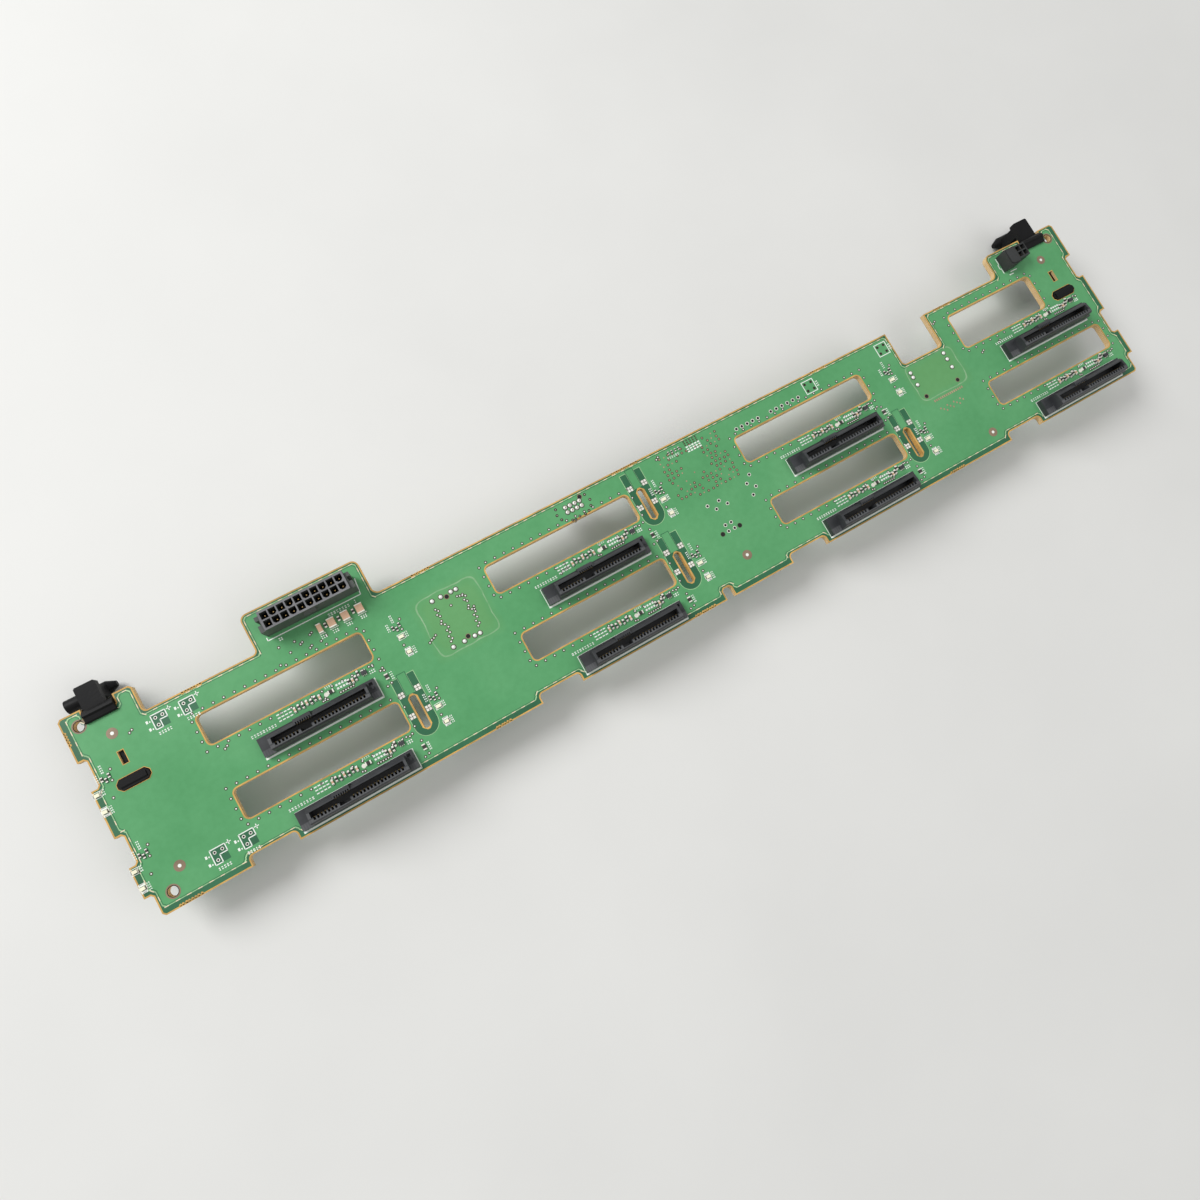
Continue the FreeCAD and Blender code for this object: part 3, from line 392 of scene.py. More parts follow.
MATERIALS = {
    "board": board_material(),
    "bare_mask": moulded("bare_solder_mask", (0.02, 0.125, 0.054), 0.42, 500.0, 0.2, 0.00001),
    "laminate": moulded("laminate_edge", (0.56, 0.33, 0.09), 0.7, 1500.0, 0.3),
    "pour_line": moulded("pour_edge_line", (0.3, 0.52, 0.26), 0.45, 1200.0, 0.3),
    "dash": moulded("bare_copper_dash", (0.74, 0.63, 0.44), 0.4, 1200.0, 0.1),
    "print": moulded("printed_white", (0.82, 0.86, 0.8), 0.55, 1600.0, 0.06, 0.00001),
    "annulus": moulded("masked_via_ring", (0.06, 0.055, 0.03), 0.4, 1200.0, 0.25, 0.00001),
    "tan_via": moulded("tented_via_cap", (0.4, 0.28, 0.18), 0.4, 1200.0, 0.2, 0.00001),
    "fiducial": moulded("fiducial_ring", (0.24, 0.17, 0.11), 0.4, 1200.0, 0.2, 0.00001),
    "tinned": moulded("tinned_pad", (0.84, 0.82, 0.74), 0.4, 1400.0, 0.12, 0.00001, 0.2),
    "solder": moulded("solder_joint", (0.88, 0.88, 0.85), 0.3, 900.0, 0.08, 0.00002, 0.2),
    # painted shade: near-black discs stand in for the dark inside of small holes that are not cut through the board
    "hole": moulded("painted_hole_shade", (0.012, 0.012, 0.012), 0.9, 900.0, 0.2),
    "receptacle": receptacle_material(),
    "contact": moulded("gold_flash_contact", (0.62, 0.46, 0.2), 0.28, 900.0, 0.12, 0.00001, 0.9),
    "header": header_material(),
    "pin": moulded("gold_flash_pin", (0.55, 0.36, 0.14), 0.26, 900.0, 0.12, 0.00001, 0.9),
    "latch": moulded("latch_plastic", (0.008, 0.008, 0.0085), 0.5, 1100.0, 0.2, 0.00004, 0.0, 0.14),
    "shell": moulded("tinned_steel_shell", (0.56, 0.56, 0.55), 0.3, 700.0, 0.08, 0.00002, 0.95),
    "core": moulded("connector_core_plastic", (0.03, 0.03, 0.032), 0.5, 1200.0, 0.18, 0.00003),
    "package": moulded("chip_package", (0.035, 0.036, 0.04), 0.55, 1500.0, 0.2, 0.00003),
    "substrate": moulded("chip_substrate", (0.03, 0.2, 0.09), 0.4, 900.0, 0.15),
    "tan_ceramic": moulded("tan_ceramic_body", (0.66, 0.42, 0.27), 0.5, 1500.0, 0.12),
    "lamp": moulded("lamp_epoxy", (0.9, 0.87, 0.66), 0.25, 900.0, 0.06),
    "chip_body": moulded("chip_body_glaze", (0.045, 0.04, 0.036), 0.35, 1500.0, 0.2),
}

for entry in frame["record"]["subparts"]:
    body = frame["nodes"][entry["node"]]
    body.data.materials.clear()
    body.data.materials.append(MATERIALS[entry["material_slot"]])
frame["nodes"]["aux_header"].data.materials[0] = moulded("aux_header_plastic", (0.03, 0.032, 0.032), 0.5, 1300.0, 0.2,
                                                         0.00003, 0.0, 0.4)


# ---------------------------------------------------------------- the board's own edges
def front_loops():
    """Edge loops of the board's front face, in millimetres, with the board on their left."""
    mesh = frame["nodes"]["circuit_board"].data
    following = {}
    directed = set()
    for polygon in mesh.polygons:
        corners = [mesh.vertices[v].co for v in polygon.vertices]
        if polygon.normal.z > 0.9 and all(abs(corner.z) < 1e-6 for corner in corners):
            ring = [(round(corner.x / MM, 4), round(corner.y / MM, 4)) for corner in corners]
            directed.update(zip(ring, ring[1:] + ring[:1]))
    for start, end in directed:
        if (end, start) not in directed:
            following[start] = end
    loops = []
    while following:
        start, point = following.popitem()
        loop = [start]
        while point != start:
            loop.append(point)
            point = following.pop(point)
        loops.append(loop)
    return sorted(loops, key=lambda loop: -abs(area(loop)))


def gap_to(point, a, b):
    """Distance from a point to the segment a-b."""
    dx, dy = b[0] - a[0], b[1] - a[1]
    share = ((point[0] - a[0]) * dx + (point[1] - a[1]) * dy) / (dx * dx + dy * dy)
    share = min(1.0, max(0.0, share))
    return math.hypot(point[0] - a[0] - share * dx, point[1] - a[1] - share * dy)


def inset(loop, reach):
    """Loop moved into the board: reach(a, b) gives the distance for the edge from a to b."""
    edges = list(zip(loop, loop[1:] + loop[:1]))
    lines = []
    for a, b in edges:
        length = math.hypot(b[0] - a[0], b[1] - a[1])
        nx, ny = -(b[1] - a[1]) / length, (b[0] - a[0]) / length
        distance = reach(a, b)
        lines.append((nx, ny, nx * a[0] + ny * a[1] + distance, distance))
    moved = []
    for i, corner in enumerate(loop):
        (ax, ay, ac, _), (bx, by, bc, distance) = lines[i - 1], lines[i]
        cross = ax * by - ay * bx
        if abs(cross) < 0.02:
            point = (corner[0] + bx * distance, corner[1] + by * distance)
        else:
            point = ((ac * by - bc * ay) / cross, (ax * bc - bx * ac) / cross)
        if all(gap_to(point, a, b) > 0.95 * line[3] for (a, b), line in zip(edges, lines)):
            moved.append(point)
    return moved


def sharp(loop):
    """Loop of the long edges alone, run on to where neighbours cross."""
    edges = [(a, b) for a, b in zip(loop, loop[1:] + loop[:1]) if math.dist(a, b) > LONG_EDGE]
    points = []
    for (a, b), (c, d) in zip(edges, edges[1:] + edges[:1]):
        ux, uy, vx, vy = b[0] - a[0], b[1] - a[1], d[0] - c[0], d[1] - c[1]
        cross = ux * vy - uy * vx
        if abs(cross) > 0.02:
            share = ((c[0] - a[0]) * vy - (c[1] - a[1]) * vx) / cross
            points.append((a[0] + share * ux, a[1] + share * uy))
    return points


def clipped(loop, cut):
    """Loop with each corner cut off by a short flat."""
    points = []
    for i, corner in enumerate(loop):
        for other in (loop[i - 1], loop[(i + 1) % len(loop)]):
            length = math.dist(corner, other)
            share = min(cut, 0.45 * length) / length
            points.append((corner[0] + share * (other[0] - corner[0]), corner[1] + share * (other[1] - corner[1])))
    return points


def ring(outer, inner):
    """Two loops, the larger first, as the outline and hole of a band."""
    return sorted((outer, inner), key=lambda loop: -abs(area(loop)))


def steady(distance):
    return lambda a, b: distance


def walk(loop, spacing):
    """Evenly spaced points round a loop, each with the direction of its edge."""
    edges = list(zip(loop, loop[1:] + loop[:1]))
    total = sum(math.dist(a, b) for a, b in edges)
    step = total / round(total / spacing)
    places, travelled = [], step / 2
    for a, b in edges:
        length = math.dist(a, b)
        while travelled < length:
            share = travelled / length
            places.append((a[0] + share * (b[0] - a[0]), a[1] + share * (b[1] - a[1]),
                           (b[0] - a[0]) / length, (b[1] - a[1]) / length))
            travelled += step
        travelled -= length
    return places


LOOPS = front_loops()
OUTLINE = LOOPS[0]
AIR_SLOTS = [loop for loop in LOOPS[1:] if abs(area(loop)) > 400]
PIPE_SLOTS = [loop for loop in LOOPS[1:] if 38 < abs(area(loop)) < 45
              and max(y for _, y in loop) - min(y for _, y in loop) > max(x for x, _ in loop) - min(x for x, _ in loop)]
BIG_HOLES = [loop for loop in LOOPS[1:] if 8 < abs(area(loop)) < 9.2]
EDGE_X = max(point[0] for point in OUTLINE)
EDGE_LOW = min(point[1] for point in OUTLINE)


def pour_reach(a, b):
    """The copper stays further from the edges that stick out furthest."""
    on_side = abs(a[0]) > EDGE_X - 0.1 and abs(b[0]) > EDGE_X - 0.1
    on_foot = a[1] < EDGE_LOW + 0.1 and b[1] < EDGE_LOW + 0.1
    return TAB_POUR_INSET if on_side or on_foot else POUR_INSET


def pour_loop(further):
    """Edge of the copper pour, or a line further in from it."""
    return clipped(inset(sharp(OUTLINE), lambda a, b: pour_reach(a, b) + further), POUR_CLIP)


def extent(loop):
    xs, ys = [p[0] for p in loop], [p[1] for p in loop]
    return min(xs), min(ys), max(xs), max(ys)


# ---------------------------------------------------------------- flat shapes and small parts, gathered by material
LAYERS = {}


def lay(layer, *loops):
    """Adds one flat shape, an outline with optional holes, to a named layer."""
    LAYERS.setdefault(layer, []).append(list(loops))


def vias(places, dot=VIA_DOT):
    """Small plated holes filled with pale resin, each in a dark ring."""
    for x, y in places:
        lay("via_rings", disc(x, y, VIA_RADIUS, 8))
        lay("via_dots", disc(x, y, dot, 6))


def frame_of(x, y, width, height, line):
    """Printed rectangle drawn as a line."""
    lay("print", rectangle(x, y, width, height), rectangle(x, y, width - 2 * line, height - 2 * line))


def marks(x, y, count, pitch, height, upright=False):
    """Row of small plain strokes that spell nothing; upright turns the row to run along +Y."""
    for i in range(count):
        wide, low = pitch * random.uniform(0.42, 0.62), height * random.uniform(0.3, 0.42)
        for side in (-1, 1):
            along, across = i * pitch, side * (height - low) / 2
            place, size = ((across, along), (low, wide)) if upright else ((along, across), (wide, low))
            lay("print", rectangle(x + place[0], y + place[1], *size))


def marks_at(places):
    """Loose small printed strokes."""
    for x, y, width, height in places:
        lay("print", rectangle(x, y, width, height))


SMALL_PARTS = {"dark": [], "tan": [], "end": []}
REAR_PARTS = []


def small_part(x, y, length, width, height, upright, kind):
    """Chip part with soldered metal ends; upright parts run along Y."""
    end = 0.24 * length
    for body, span, lift in ((kind, (end - length / 2, length / 2 - end), 0.0),
                             ("end", (-length / 2, end - length / 2), 0.03),
                             ("end", (length / 2 - end, length / 2), 0.03)):
        grown = width / 2 + lift
        if upright:
            loop = block(x - grown, y + span[0], x + grown, y + span[1])
        else:
            loop = block(x + span[0], y - grown, x + span[1], y + grown)
        SMALL_PARTS[body].append((loop, height + lift))


def filter_part(x, y, kind):
    """Small capacitor standing across its two pads, with a dark gap of bare mask round it."""
    lay("bare_mask", rectangle(x, y, 1.2, 2.5))
    for side in (-1, 1):
        lay("tinned_pads", rectangle(x, y + 0.74 * side, 0.78, 0.66))
    small_part(x, y, 1.5, 0.72, 0.55, True, kind)


def metal_ends(x, y, length, width, height, upright):
    """Metal ends of a chip whose body is a CAD solid."""
    for side in (-1, 1):
        middle = side * (length / 2 - 0.16)
        centre = (x, y + middle) if upright else (x + middle, y)
        size = (width + 0.06, 0.44) if upright else (0.44, width + 0.06)
        SMALL_PARTS["end"].append((rectangle(*centre, *size), height + 0.03))


random.seed(11)

# the board's edges: bare laminate line, dark band without copper, edge of the copper pour
lay("bare_mask", *ring(OUTLINE, pour_loop(0.0)))
lay("pour_line", *ring(pour_loop(0.0), pour_loop(POUR_LINE_WIDTH)))
lay("dark_line", *ring(pour_loop(POUR_LINE_WIDTH + 0.14), pour_loop(POUR_LINE_WIDTH + 0.28)))
for loop in LOOPS:
    if abs(area(loop)) > 8:
        lay("laminate", *ring(loop, inset(loop, steady(FRINGE_WIDTH if abs(area(loop)) > 45 else SLOT_FRINGE))))
for x, y, dx, dy in walk(pour_loop(POUR_LINE_WIDTH / 2), STITCH_SPACING):
    lay("dashes", strip(x - 0.75 * dx, y - 0.75 * dy, x + 0.75 * dx, y + 0.75 * dy, 0.32))
for loop in AIR_SLOTS:
    vias([(x, y) for x, y, _, _ in walk(inset(sharp(loop), steady(STITCH_INSET)), STITCH_SPACING)])
for loop in BIG_HOLES:
    x0, y0, x1, y1 = extent(loop)
    lay("hole_rings", *ring(disc((x0 + x1) / 2, (y0 + y1) / 2, 2.4, 26), loop))


def pipe_area(loop):
    """Bare U round a light pipe slot, with four pads and a tongue of copper above the slot."""
    x0, y0, x1, y1 = extent(loop)
    cx, top = (x0 + x1) / 2, y1 + 7.2
    for layer, grown in (("u_outline", 0.24), ("bare_mask", 0.0)):
        radius = 4.3 + grown
        bend = [(cx + radius * math.cos(math.radians(a)), y0 + 2.1 + radius * math.sin(math.radians(a)))
                for a in range(180, 361, 15)]
        inner = 1.8 - grown
        lay(layer, [(cx - radius, top + grown)] + bend + [(cx + radius, top + grown), (cx + inner, top + grown),
            (cx + inner, y1 + 0.3), (cx - inner, y1 + 0.3), (cx - inner, top + grown)], loop)
    brow = [(cx - 1.6, y1 + 0.5), (cx - 1.6, top + 1.1), (cx + 1.6, top + 1.1), (cx + 1.6, y1 + 0.5)]
    for shape in polyline(brow, 0.2):
        lay("dark_line", *shape)
    for x in (cx - 3.1, cx + 3.1):
        for y in (y1 + 1.2, y1 - 7.0):
            lay("via_rings", rectangle(x, y, 2.1, 2.1))
            for dx in (-0.54, 0.54):
                for dy in (-0.54, 0.54):
                    lay("tinned_pads", rectangle(x + dx, y + dy, 0.88, 0.88))


def slot_lining(loop):
    """Rough laminate wall that narrows a light pipe slot, with evenly rounded ends."""
    x0, y0, x1, y1 = extent(loop)
    wall, bend = 0.42, 0.85
    corners = ((x1 - wall - bend, y1 - wall - bend, 0), (x0 + wall + bend, y1 - wall - bend, 90),
               (x0 + wall + bend, y0 + wall + bend, 180), (x1 - wall - bend, y0 + wall + bend, 270))
    opening = [(x + bend * math.cos(math.radians(start + turn)), y + bend * math.sin(math.radians(start + turn)))
               for x, y, start in corners for turn in range(0, 91, 18)]
    return [loop, opening]


for loop in PIPE_SLOTS:
    pipe_area(loop)
prisms("slot_linings", [slot_lining(loop) for loop in PIPE_SLOTS], BACK, LINE_TOP, MATERIALS["laminate"])


def port_corner(number):
    """Lower left corner of a drive receptacle's place, in millimetres."""
    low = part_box("drive_receptacle_%d" % number)[0]
    return low[0] / MM - HOUSING_INSET, low[1] / MM - HOUSING_INSET


def port_detail(x, y, last):
    """Print, filter parts and marks round one drive receptacle."""
    right, high = x + RECEPTACLE_LENGTH + 0.25, y + RECEPTACLE_DEPTH + 0.2
    lay("print", block(x - 0.2, y - 0.5, right + 0.1, y + 0.15))
    lay("print", block(right - 0.16, y - 0.2, right + 0.2, high))
    lay("print", block(x, high - 0.2, right, high))
    lay("print", block(x - 0.16, y + 0.2, x + 0.1, high))
    marks(x - 1.0, y + 8.7, 9, 1.05, 0.95)
    for i in range(4):
        for j in range(3):
            lay("print", rectangle(x + 9.5 + 1.35 * i, y + 9.2 + 1.15 * j, 1.0, 0.42))
    for i in range(7):
        filter_part(x + 15.2 + 1.5 * i, y + 10.2 + 0.35 * (i % 2), ("tan", "dark", "dark")[i % 3])
    for i in range(3):
        filter_part(x + 35.2 + 1.3 * i, y + 10.2 - 0.3 * (i % 2), ("dark", "tan", "dark")[i])
    metal_ends(x + 28.4, y + 10.1, 2.0, 1.25, 0.6, False)
    lay("tinned_pads", disc(x + 26.6, y + 9.9, 0.8, 12))
    marks(x + 27.2, y + 12.1, 4, 0.75, 0.7)
    vias([(x + 25.4, y + 8.4), (x + 26.3, y + 8.2)])
    for i in range(4):
        for j in range(2):
            lay("print", rectangle(x + 31.0 + 1.1 * i, y + 9.9 + 1.3 * j, 0.75, 0.7))
    vias([(x + 31.2 + 0.95 * i, y + 8.3) for i in range(6)])
    filter_part(x + 39.0, y + 11.4, "dark")
    for side in (-1, 1):
        for dx in (-0.65, 0.0, 0.65):
            SMALL_PARTS["end"].append((rectangle(x + 41.0 + dx, y + 10.6 + 0.85 * side, 0.26, 0.6), 0.3))
    marks(x + 42.9, y + 9.6, 3, 0.8, 1.2)
    vias([(x + 43.4, y + 11.6), (x + 44.6, y + 11.2)])
    if not last:
        metal_ends(x + 47.2, y + 5.6, 2.0, 1.25, 0.6, True)
        marks(x + 48.9, y + 4.0, 4, 0.8, 0.9, True)
        vias([(x + 47.4, y + 8.0), (x + 47.7, y + 2.9), (x + 46.0, y + 2.4)])


for number in range(1, PORT_COUNT + 1):
    px, py = port_corner(number)
    port_detail(px, py, number > PORT_COUNT - 2)


def lamp_detail(x, y, on_left):
    """Pads, print and resistors of one pair of status lamps; y is the port's lower edge."""
    aside = 4.6 if on_left else 0.0
    for lamp_y in (y + 9.7, y + 15.7):
        for end in (-1, 1):
            lay("tinned_pads", rectangle(x + end * 0.95, lamp_y, 0.7, 1.3))
    frame_of(x, y + 15.7, 2.7, 2.2, 0.2)
    frame_of(x, y + 9.7, 2.1, 3.2, 0.3)
    for side in (-1, 1):
        lay("print", rectangle(x, y + 9.7 + 1.1 * side, 1.4, 0.7))
    marks(x + 2.0, y + 15.0, 3, 0.8, 0.9, True)
    marks(x + 2.0, y + 8.4, 4, 0.75, 0.9, True)
    for dx, dy in ((-1.3, 19.6), (-0.1, 18.8), (1.2, 19.9)):
        lay("bare_mask", rectangle(x + aside + dx, y + dy, 1.05, 2.1))
        small_part(x + aside + dx, y + dy, 1.5, 0.68, 0.45, True, "dark")
    marks(x + aside - 2.8, y + 19.2, 4, 0.8, 0.85, True)
    marks(x + aside - 0.3, y + 21.6, 4, 0.8, 0.85, True)
    vias([(x + aside - 0.6, y + 12.6), (x + aside + 2.3, y + 21.6), (x + aside + 1.4, y + 18.0)])


for row_port in (1, 2):
    px, py = port_corner(row_port)
    for column in range(4):
        lamp_x = px + 58.0 + (column - 1) * COLUMN_PITCH
        if column == 0:
            lamp_x = -EDGE_X + 1.2
        lamp_detail(lamp_x, py, column == 0)


# the hole itself is a near-black disc of painted shade, not cut through the board
def plated_hole(x, y, radius):
    lay("tinned_pads", disc(x, y, radius + 0.22, 16))
    lay("holes", disc(x, y, radius, 12))


# ---- unpopulated footprints
def pin_footprint(x0, y0, x1, y1):
    """Place of a part that isn't fitted: dark square, three plated holes and an L of print."""
    middle_x, middle_y = (x0 + x1) / 2 - 0.1, (y0 + y1) / 2 + 0.1
    lay("bare_mask", block(x0, y0, x1, y1))
    outline = [(x1, middle_y), (x1, y1), (x0, y1), (x0, y0), (middle_x, y0), (middle_x, middle_y), (x1, middle_y)]
    for shape in polyline(outline, 0.34):
        lay("print", *shape)
    for x, y in ((x0 + 1.3, y1 - 1.25), (x1 - 1.25, y1 - 1.25), (x0 + 1.3, y0 + 1.25)):
        plated_hole(x, y, 0.36)
    marks_at([(x1 + 1.3, y1 - 0.2, 1.7, 0.3), (x1 + 1.3, y1 - 0.2, 0.3, 1.7)])
    marks(x0 + 0.5, y0 - 1.6, 5, 0.95, 1.0)
    for y in (y0 + 0.9, y1 - 1.5):
        marks_at([(x0 - 1.7, y, 0.7, 1.0), (x0 - 0.8, y - 0.2, 0.4, 0.5)])


for x0, x1, y0, y1 in ((-190.8, -185.8, 16.7, 21.8), (-181.0, -176.0, 16.7, 21.8),
                       (-193.2, -188.0, -32.5, -27.3), (-183.1, -178.1, -32.5, -27.3)):
    pin_footprint(x0, y0, x1, y1)
for x0, x1 in ((76.3, 81.7), (112.6, 118.1)):
    middle = (x0 + x1) / 2
    frame_of(middle, 19.35, x1 - x0, 5.5, 0.3)
    for dx in (-1.5, 1.5):
        for y in (17.9, 20.8):
            lay("via_rings", disc(middle + dx, y, 0.62, 12))
            lay("holes", disc(middle + dx, y, 0.36, 10))
    marks(x1 + 0.9, 18.2, 3, 0.9, 0.9, True)


def edge_height(x, top):
    """Height of the board's upper or lower edge at x."""
    heights = [a[1] + (x - a[0]) / (b[0] - a[0]) * (b[1] - a[1]) for a, b in zip(OUTLINE, OUTLINE[1:] + OUTLINE[:1])
               if min(a[0], b[0]) <= x < max(a[0], b[0])]
    return max(heights) if top else min(heights)


# ---- rough spots where the board was broken out of its panel
for x0, x1, top in ((-178.6, -171.5, True), (-93.3, -86.2, True), (-10.0, 1.2, True), (82.5, 89.6, True),
                    (145.5, 153.6, True), (-208.1, -200.0, False), (-92.3, -86.2, False), (-9.0, 0.2, False),
                    (113.0, 120.1, False)):
    for i in range(round((x1 - x0) / 1.05)):
        x = x0 + 1.05 * i + 0.2 * random.random()
        y = edge_height(x, top) + (-0.62 if top else 0.62)
        lay("laminate", disc(x, y, 0.4 + 0.14 * random.random(), 8))
for i in range(5):
    lay("laminate", disc(0.62 - EDGE_X, 25.2 + 1.05 * i, 0.46, 8))


# ---- rows of open holes, test points and fiducials
for i in range(5):
    plated_hole(42.8 + 2.54 * i, 17.5, 0.55)
for i in range(6):
    plated_hole(59.1 + 2.64 * i, 17.5, 0.55)
for x, y in ((16.6, -3.9), (21.7, -4.0), (19.2, -6.5), (24.2, -6.5), (37.8, -0.6), (35.1, -3.3), (37.8, -5.8),
             (35.1, -8.3), (19.0, -16.1), (21.7, -16.1), (19.0, -13.5), (21.6, -13.5)):
    plated_hole(x, y, 0.5)
for x in (16.3, 24.0):
    lay("via_rings", disc(x, -16.15, 0.95, 16))
    lay("holes", disc(x, -16.15, 0.75, 14))
for x, y in ((-203.4, 22.5), (-203.0, -26.7), (20.6, -27.4), (138.9, -32.0), (202.9, 22.4)):
    lay("hole_rings", disc(x, y, 1.9, 24))
    lay("via_dots", disc(x, y, 0.6, 14))

# ---- via groups
row_gap = 1.75
for row in range(12):
    for i in range(14):
        x, y = 8.5 + 1.95 * i + 0.5 * (row % 2), 1.2 + row_gap * row
        in_die = 15.5 < x < 26.5 and 6.5 < y < 17.5
        if random.random() < (0.2 if in_die else 0.62):
            x, y = x + 0.3 * random.random(), y + 0.3 * random.random()
            if random.random() < 0.7:
                lay("via_rings", disc(x, y, 0.56, 8))
            lay("tan_vias", disc(x, y, 0.3, 8))
for i in range(4):
    small_part(13.6 + 1.5 * i, 21.2, 1.1, 0.55, 0.45, True, "dark")
marks(12.6, 19.4, 6, 0.9, 0.8)
for i in range(5):
    for j in range(3):
        lay("print", rectangle(21.4 + 1.3 * i, 18.2 + 0.95 * j, 0.9, 0.55))
        lay("via_rings", rectangle(21.2 + 1.3 * i, 20.9 + 0.8 * j, 0.7, 0.5))
zigzag = ((0.0, 0.0), (0.7, 0.9), (-0.3, 2.0), (0.4, 2.9), (0.0, 4.6), (-0.5, 5.5), (0.5, 6.3), (1.2, 7.6),
          (0.2, 8.5), (0.8, 9.6), (-0.2, 10.7), (0.5, 11.9), (-0.4, 12.7))
vias([(x + dx, y - dy) for x, y in ((-91.6, 9.2), (-80.6, 9.6)) for dx, dy in zigzag], 0.3)
vias([(-82.6 + 0.9 * i, 9.9 - 0.3 * i) for i in range(3)] + [(-79.0, 3.9), (-79.3, 3.0), (-86.0, 8.0)])
for i in range(15):
    lay("tan_vias", rectangle(123.6 + 1.0 * i, -9.6, 0.62, 0.95))
for i in range(11):
    lay("tan_vias", rectangle(124.2 + 1.1 * i, -13.4 - 0.9 * (i % 3), 0.6, 0.7))
vias([(-144.5, 22.7), (-141.8, 19.3), (-139.0, 22.1), (-137.6, 20.3), (-136.8, 20.7), (-133.4, 21.8),
      (-132.6, 22.2), (-135.3, 17.6), (-134.5, 18.1), (-131.0, 18.0), (-146.6, 16.9), (-128.6, 18.9)])
vias([(-31.8, 15.2), (-30.6, 14.9), (-28.7, 15.3), (-26.4, 15.1), (-24.6, 15.6), (-23.0, 17.0), (-22.2, 19.2),
      (-35.4, 17.2), (-36.2, 19.4), (-35.6, 21.6), (-23.1, 21.8)], 0.12)
for _ in range(46):
    x, y = random.uniform(-200.0, 200.0), random.choice((random.uniform(16.8, 22.6), random.uniform(-1.2, 2.0)))
    near = [loop for loop in AIR_SLOTS + PIPE_SLOTS
            if extent(loop)[0] - 6 < x < extent(loop)[2] + 6 and extent(loop)[1] - 3 < y < extent(loop)[3] + 8]
    busy = any(abs(x - taken) < 9 for taken in (-188.0, -129.0, -86.0, -29.0, 20.0, 55.0, 79.0, 115.0, 130.0, 188.0))
    if not near and not busy:
        vias([(x, y), (x + 1.0, y + 0.6)])

# ---- print round the headers
ph_low, ph_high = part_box("power_header")
hx0, hy0, hx1 = ph_low[0] / MM, ph_low[1] / MM, ph_high[0] / MM
for shape in polyline([(hx0 - 0.6, hy0 + 0.8), (hx0 - 0.6, hy0 - 0.4), (hx1 - 0.2, hy0 - 0.4), (hx1 + 0.5, hy0 + 5.6)], 0.36):
    lay("print", *shape)
marks(hx0 + 3.0, hy0 - 1.8, 2, 0.8, 1.1)
marks(hx1 - 3.0, hy0 - 1.8, 1, 0.8, 1.2)
marks(hx1 - 13.0, hy0 - 2.0, 8, 1.05, 1.0)
for x, width in ((-129.4, 1.6), (-125.0, 2.6), (-119.8, 2.6), (-114.4, 2.6)):
    for side in (-1, 1):
        SMALL_PARTS["end"].append((rectangle(x, 22.0 + side * 1.5, width + 0.06, 0.34), 1.73))
    marks(x - 0.8, 18.9, 3, 0.8, 1.2)
    lay("print", rectangle(x, 20.05, width + 0.6, 0.24))
for x in (-127.3, -122.3, -116.9):
    metal_ends(x, 22.2, 1.6, 0.8, 0.6, True)
ah_low, ah_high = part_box("aux_header")
ax0, ay0, ax1, ay1 = ah_low[0] / MM, ah_low[1] / MM, ah_high[0] / MM, ah_high[1] / MM
for shape in polyline([(ax0 - 0.4, ay1 - 0.3), (ax0 - 0.4, ay1 - 3.2), (ax0 - 1.0, ay1 - 3.2), (ax0 - 1.0, ay1 - 5.2),
                       (ax0 - 0.4, ay1 - 5.2), (ax0 - 0.4, ay0 - 0.4)], 0.32):
    lay("print", *shape)
lay("print", rectangle(ax0 + 4.4, ay0 - 0.9, 3.4, 0.4))
lay("print", rectangle(ax0 + 2.6, ay0 - 2.0, 2.2, 0.4))

# ---- solder joints of the rear parts
domes_verts, domes_faces = [], []
joints = [(x, 12.4) for x in (-91.2, -87.8, -83.8, -81.8)] + [(x, -5.7) for x in (-92.2, -87.8, -83.7, -81.6)]
joints += [(120.7, 5.2), (120.7, 3.1), (120.7, -0.4), (138.6, 6.2), (138.6, 3.3), (138.6, -0.5)]
joints += [(-32.05 + 2.0 * i, 18.65 + 2.0 * j) for i in range(4) for j in range(2)]
for x, y in joints:
    lay("via_rings", disc(x, y, 1.0, 14))
    add_dome(domes_verts, domes_faces, x, y, 0.0, 0.8, 0.62)
piece("solder_joints", domes_verts, domes_faces, MATERIALS["solder"], smooth=True)
for x, y in ((-85.9, 11.5), (-85.9, -4.7), (121.5, -6.25), (137.7, -6.25), (-25.2, 21.9)):
    lay("hole_rings", disc(x, y, 0.98, 16))
    lay("holes", disc(x, y, 0.76, 14))

# ---- the rear face's own joints and parts
for number in range(1, PORT_COUNT + 1):
    px, py = port_corner(number)
    for i in range(22):
        lay("rear_pads", disc(px + 6.6 + 1.27 * i + (1.27 if i > 6 else 0.0), py + 2.4 + 1.6 * (i % 2), 0.42, 8))
    for x in (px + 2.2, px + RECEPTACLE_LENGTH - 2.2):
        lay("rear_pads", disc(x, py + 3.6, 0.8, 12))
under_low, under_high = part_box("controller_substrate")
ux0, uy0, ux1, uy1 = under_low[0] / MM, under_low[1] / MM, under_high[0] / MM, under_high[1] / MM
for i in range(8):
    share = (i + 0.5) / 8
    for x, y, upright in ((ux0 + share * (ux1 - ux0), uy1 + 1.4, True), (ux0 + share * (ux1 - ux0), uy0 - 1.4, True),
                          (ux0 - 1.4, uy0 + share * (uy1 - uy0), False), (ux1 + 1.4, uy0 + share * (uy1 - uy0), False)):
        if y < edge_height(x, True) - 2.0:
            REAR_PARTS.append((x, y, upright))

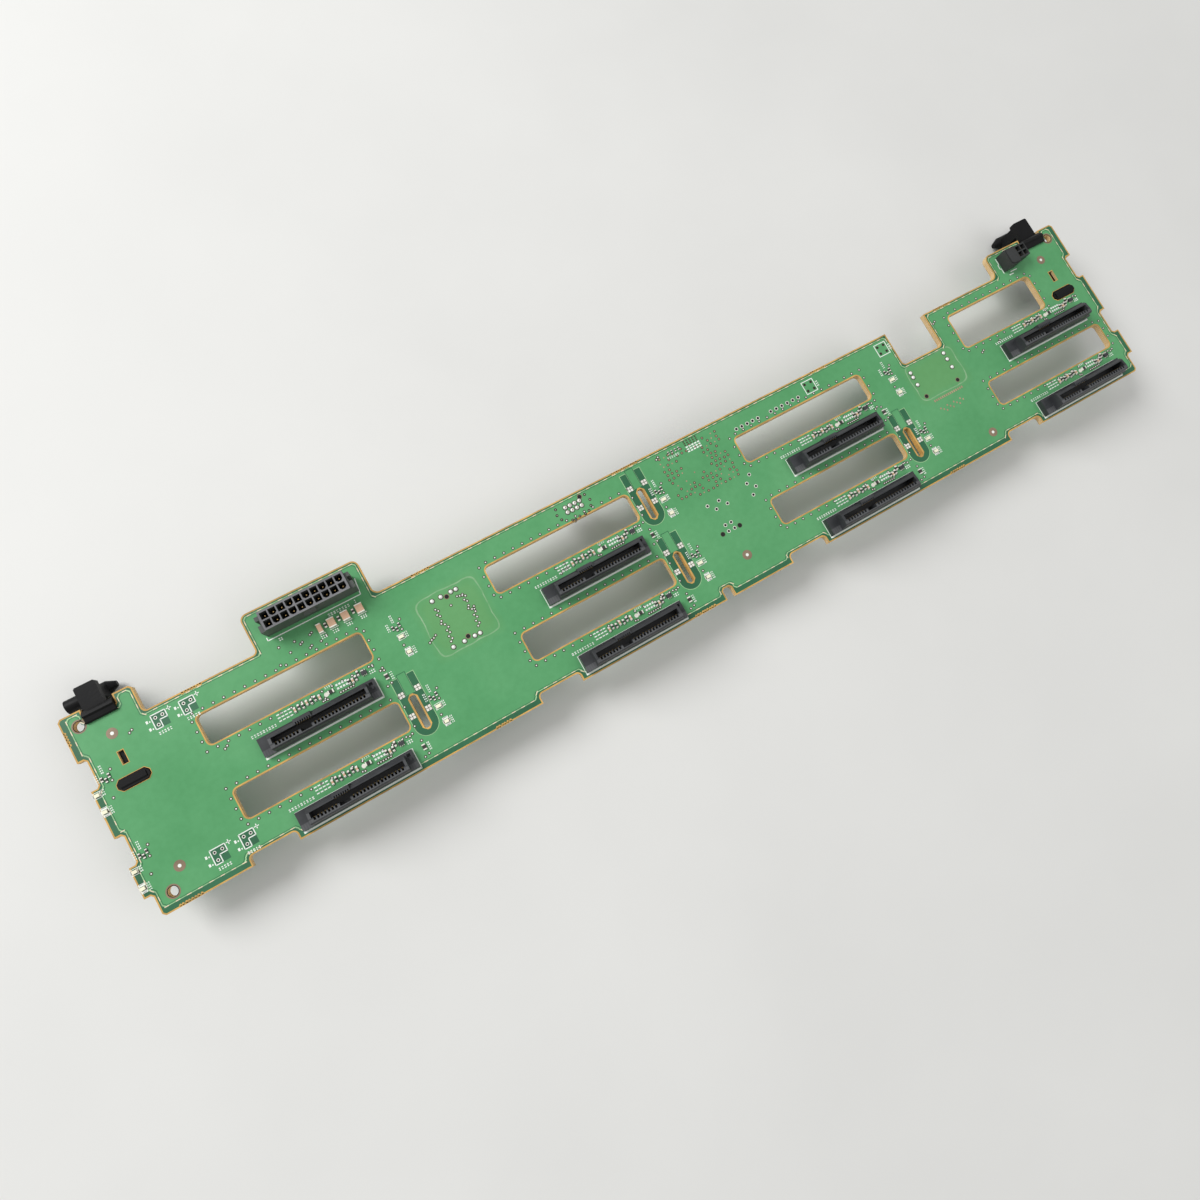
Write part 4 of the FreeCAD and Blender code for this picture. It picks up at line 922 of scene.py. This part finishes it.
REAR_LAYERS = ("bare_mask", "pour_line", "dark_line", "laminate", "dashes", "via_rings", "via_dots", "holes")
LAYER_LOOKS = {
    "u_outline": (LINE_TOP, "pour_line"), "bare_mask": (MASK_TOP, "bare_mask"),
    "pour_line": (COPPER_TOP, "pour_line"), "dark_line": (COPPER_TOP, "bare_mask"),
    "laminate": (COPPER_TOP, "laminate"), "dashes": (PRINT_TOP, "dash"), "via_rings": (COPPER_TOP, "annulus"),
    "hole_rings": (COPPER_TOP, "fiducial"), "tan_vias": (PRINT_TOP, "tan_via"), "via_dots": (PRINT_TOP, "print"),
    "tinned_pads": (PRINT_TOP, "tinned"), "print": (PRINT_TOP, "print"), "holes": (HOLE_TOP, "hole"),
}
for layer, (top, look) in LAYER_LOOKS.items():
    slot = "shell" if look in ("tinned", "dash") else "board"
    prisms("board_" + layer, LAYERS[layer], SUNK, top, MATERIALS[look])
    if layer in REAR_LAYERS:
        prisms("rear_" + layer, LAYERS[layer], BACK - top, BACK - SUNK, MATERIALS[look])
prisms("rear_joints", LAYERS["rear_pads"], BACK - 0.3, BACK - SUNK, MATERIALS["tinned"])
for name, look, slot, spans, lift in (("rear_part_bodies", "tan_ceramic", "tan_ceramic", ((-0.5, 0.5),), 0.0),
                                      ("rear_part_ends", "tinned", "shell", ((-0.8, -0.5), (0.5, 0.8)), 0.04)):
    half = 0.42 + lift
    shapes = [[block(x - half, y + a, x + half, y + b) if upright else block(x + a, y - half, x + b, y + half)]
              for x, y, upright in REAR_PARTS for a, b in spans]
    prisms(name, shapes, BACK - 0.7 - lift, BACK - SUNK, MATERIALS[look])
for kind, look, slot in (("dark", "chip_body", "chip_body"), ("tan", "tan_ceramic", "tan_ceramic"),
                         ("end", "tinned", "shell")):
    verts, faces = [], []
    for loop, height in SMALL_PARTS[kind]:
        add_prism(verts, faces, [loop], SUNK, height)
    piece("small_parts_" + kind, verts, faces, MATERIALS[look])

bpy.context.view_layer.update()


# ---------------------------------------------------------------- floor, light and camera
def sheet(name, x0, y0, x1, y1, z, material):
    mesh = bpy.data.meshes.new(name)
    mesh.from_pydata([(x0, y0, z), (x1, y0, z), (x1, y1, z), (x0, y1, z)], [], [(0, 1, 2, 3)])
    mesh.materials.append(material)
    made = bpy.data.objects.new(name, mesh)
    bpy.context.scene.collection.objects.link(made)


def area_lamp(name, place, target, size, power):
    data = bpy.data.lights.new(name, "AREA")
    data.shape = "DISK"
    data.size = size
    data.energy = power
    lamp = bpy.data.objects.new(name, data)
    lamp.location = place
    lamp.rotation_euler = (Vector(target) - Vector(place)).to_track_quat("-Z", "Y").to_euler()
    bpy.context.scene.collection.objects.link(lamp)


sheet("floor", -3.0, -3.0, 3.0, 3.0, cad_box[0][2] - 0.0002, moulded("pale_floor", (0.72, 0.72, 0.7), 0.8, 60.0, 0.03))
area_lamp("key_lamp", (-0.75, 0.8, 0.95), (-0.05, 0.0, 0.0), 0.8, 16.0)
area_lamp("fill_lamp", (0.6, -0.7, 1.0), (0.0, 0.0, 0.0), 1.0, 3.0)

world = bpy.data.worlds.new("studio")
world.use_nodes = True
world.node_tree.nodes["Background"].inputs["Color"].default_value = (1.0, 1.0, 1.0, 1.0)
world.node_tree.nodes["Background"].inputs["Strength"].default_value = 0.5
bpy.context.scene.world = world
bpy.context.scene.view_settings.view_transform = "Standard"

camera_data = bpy.data.cameras.new("camera")
camera_data.lens = 24.49
camera_data.sensor_width = 36.0
camera_data.clip_start = 0.01
camera = bpy.data.objects.new("camera", camera_data)
camera.location = (-0.09602, -0.04023, 0.29286)
camera.rotation_euler = [math.radians(angle) for angle in (9.61, -7.53, -29.56)]
bpy.context.scene.collection.objects.link(camera)
bpy.context.scene.camera = camera
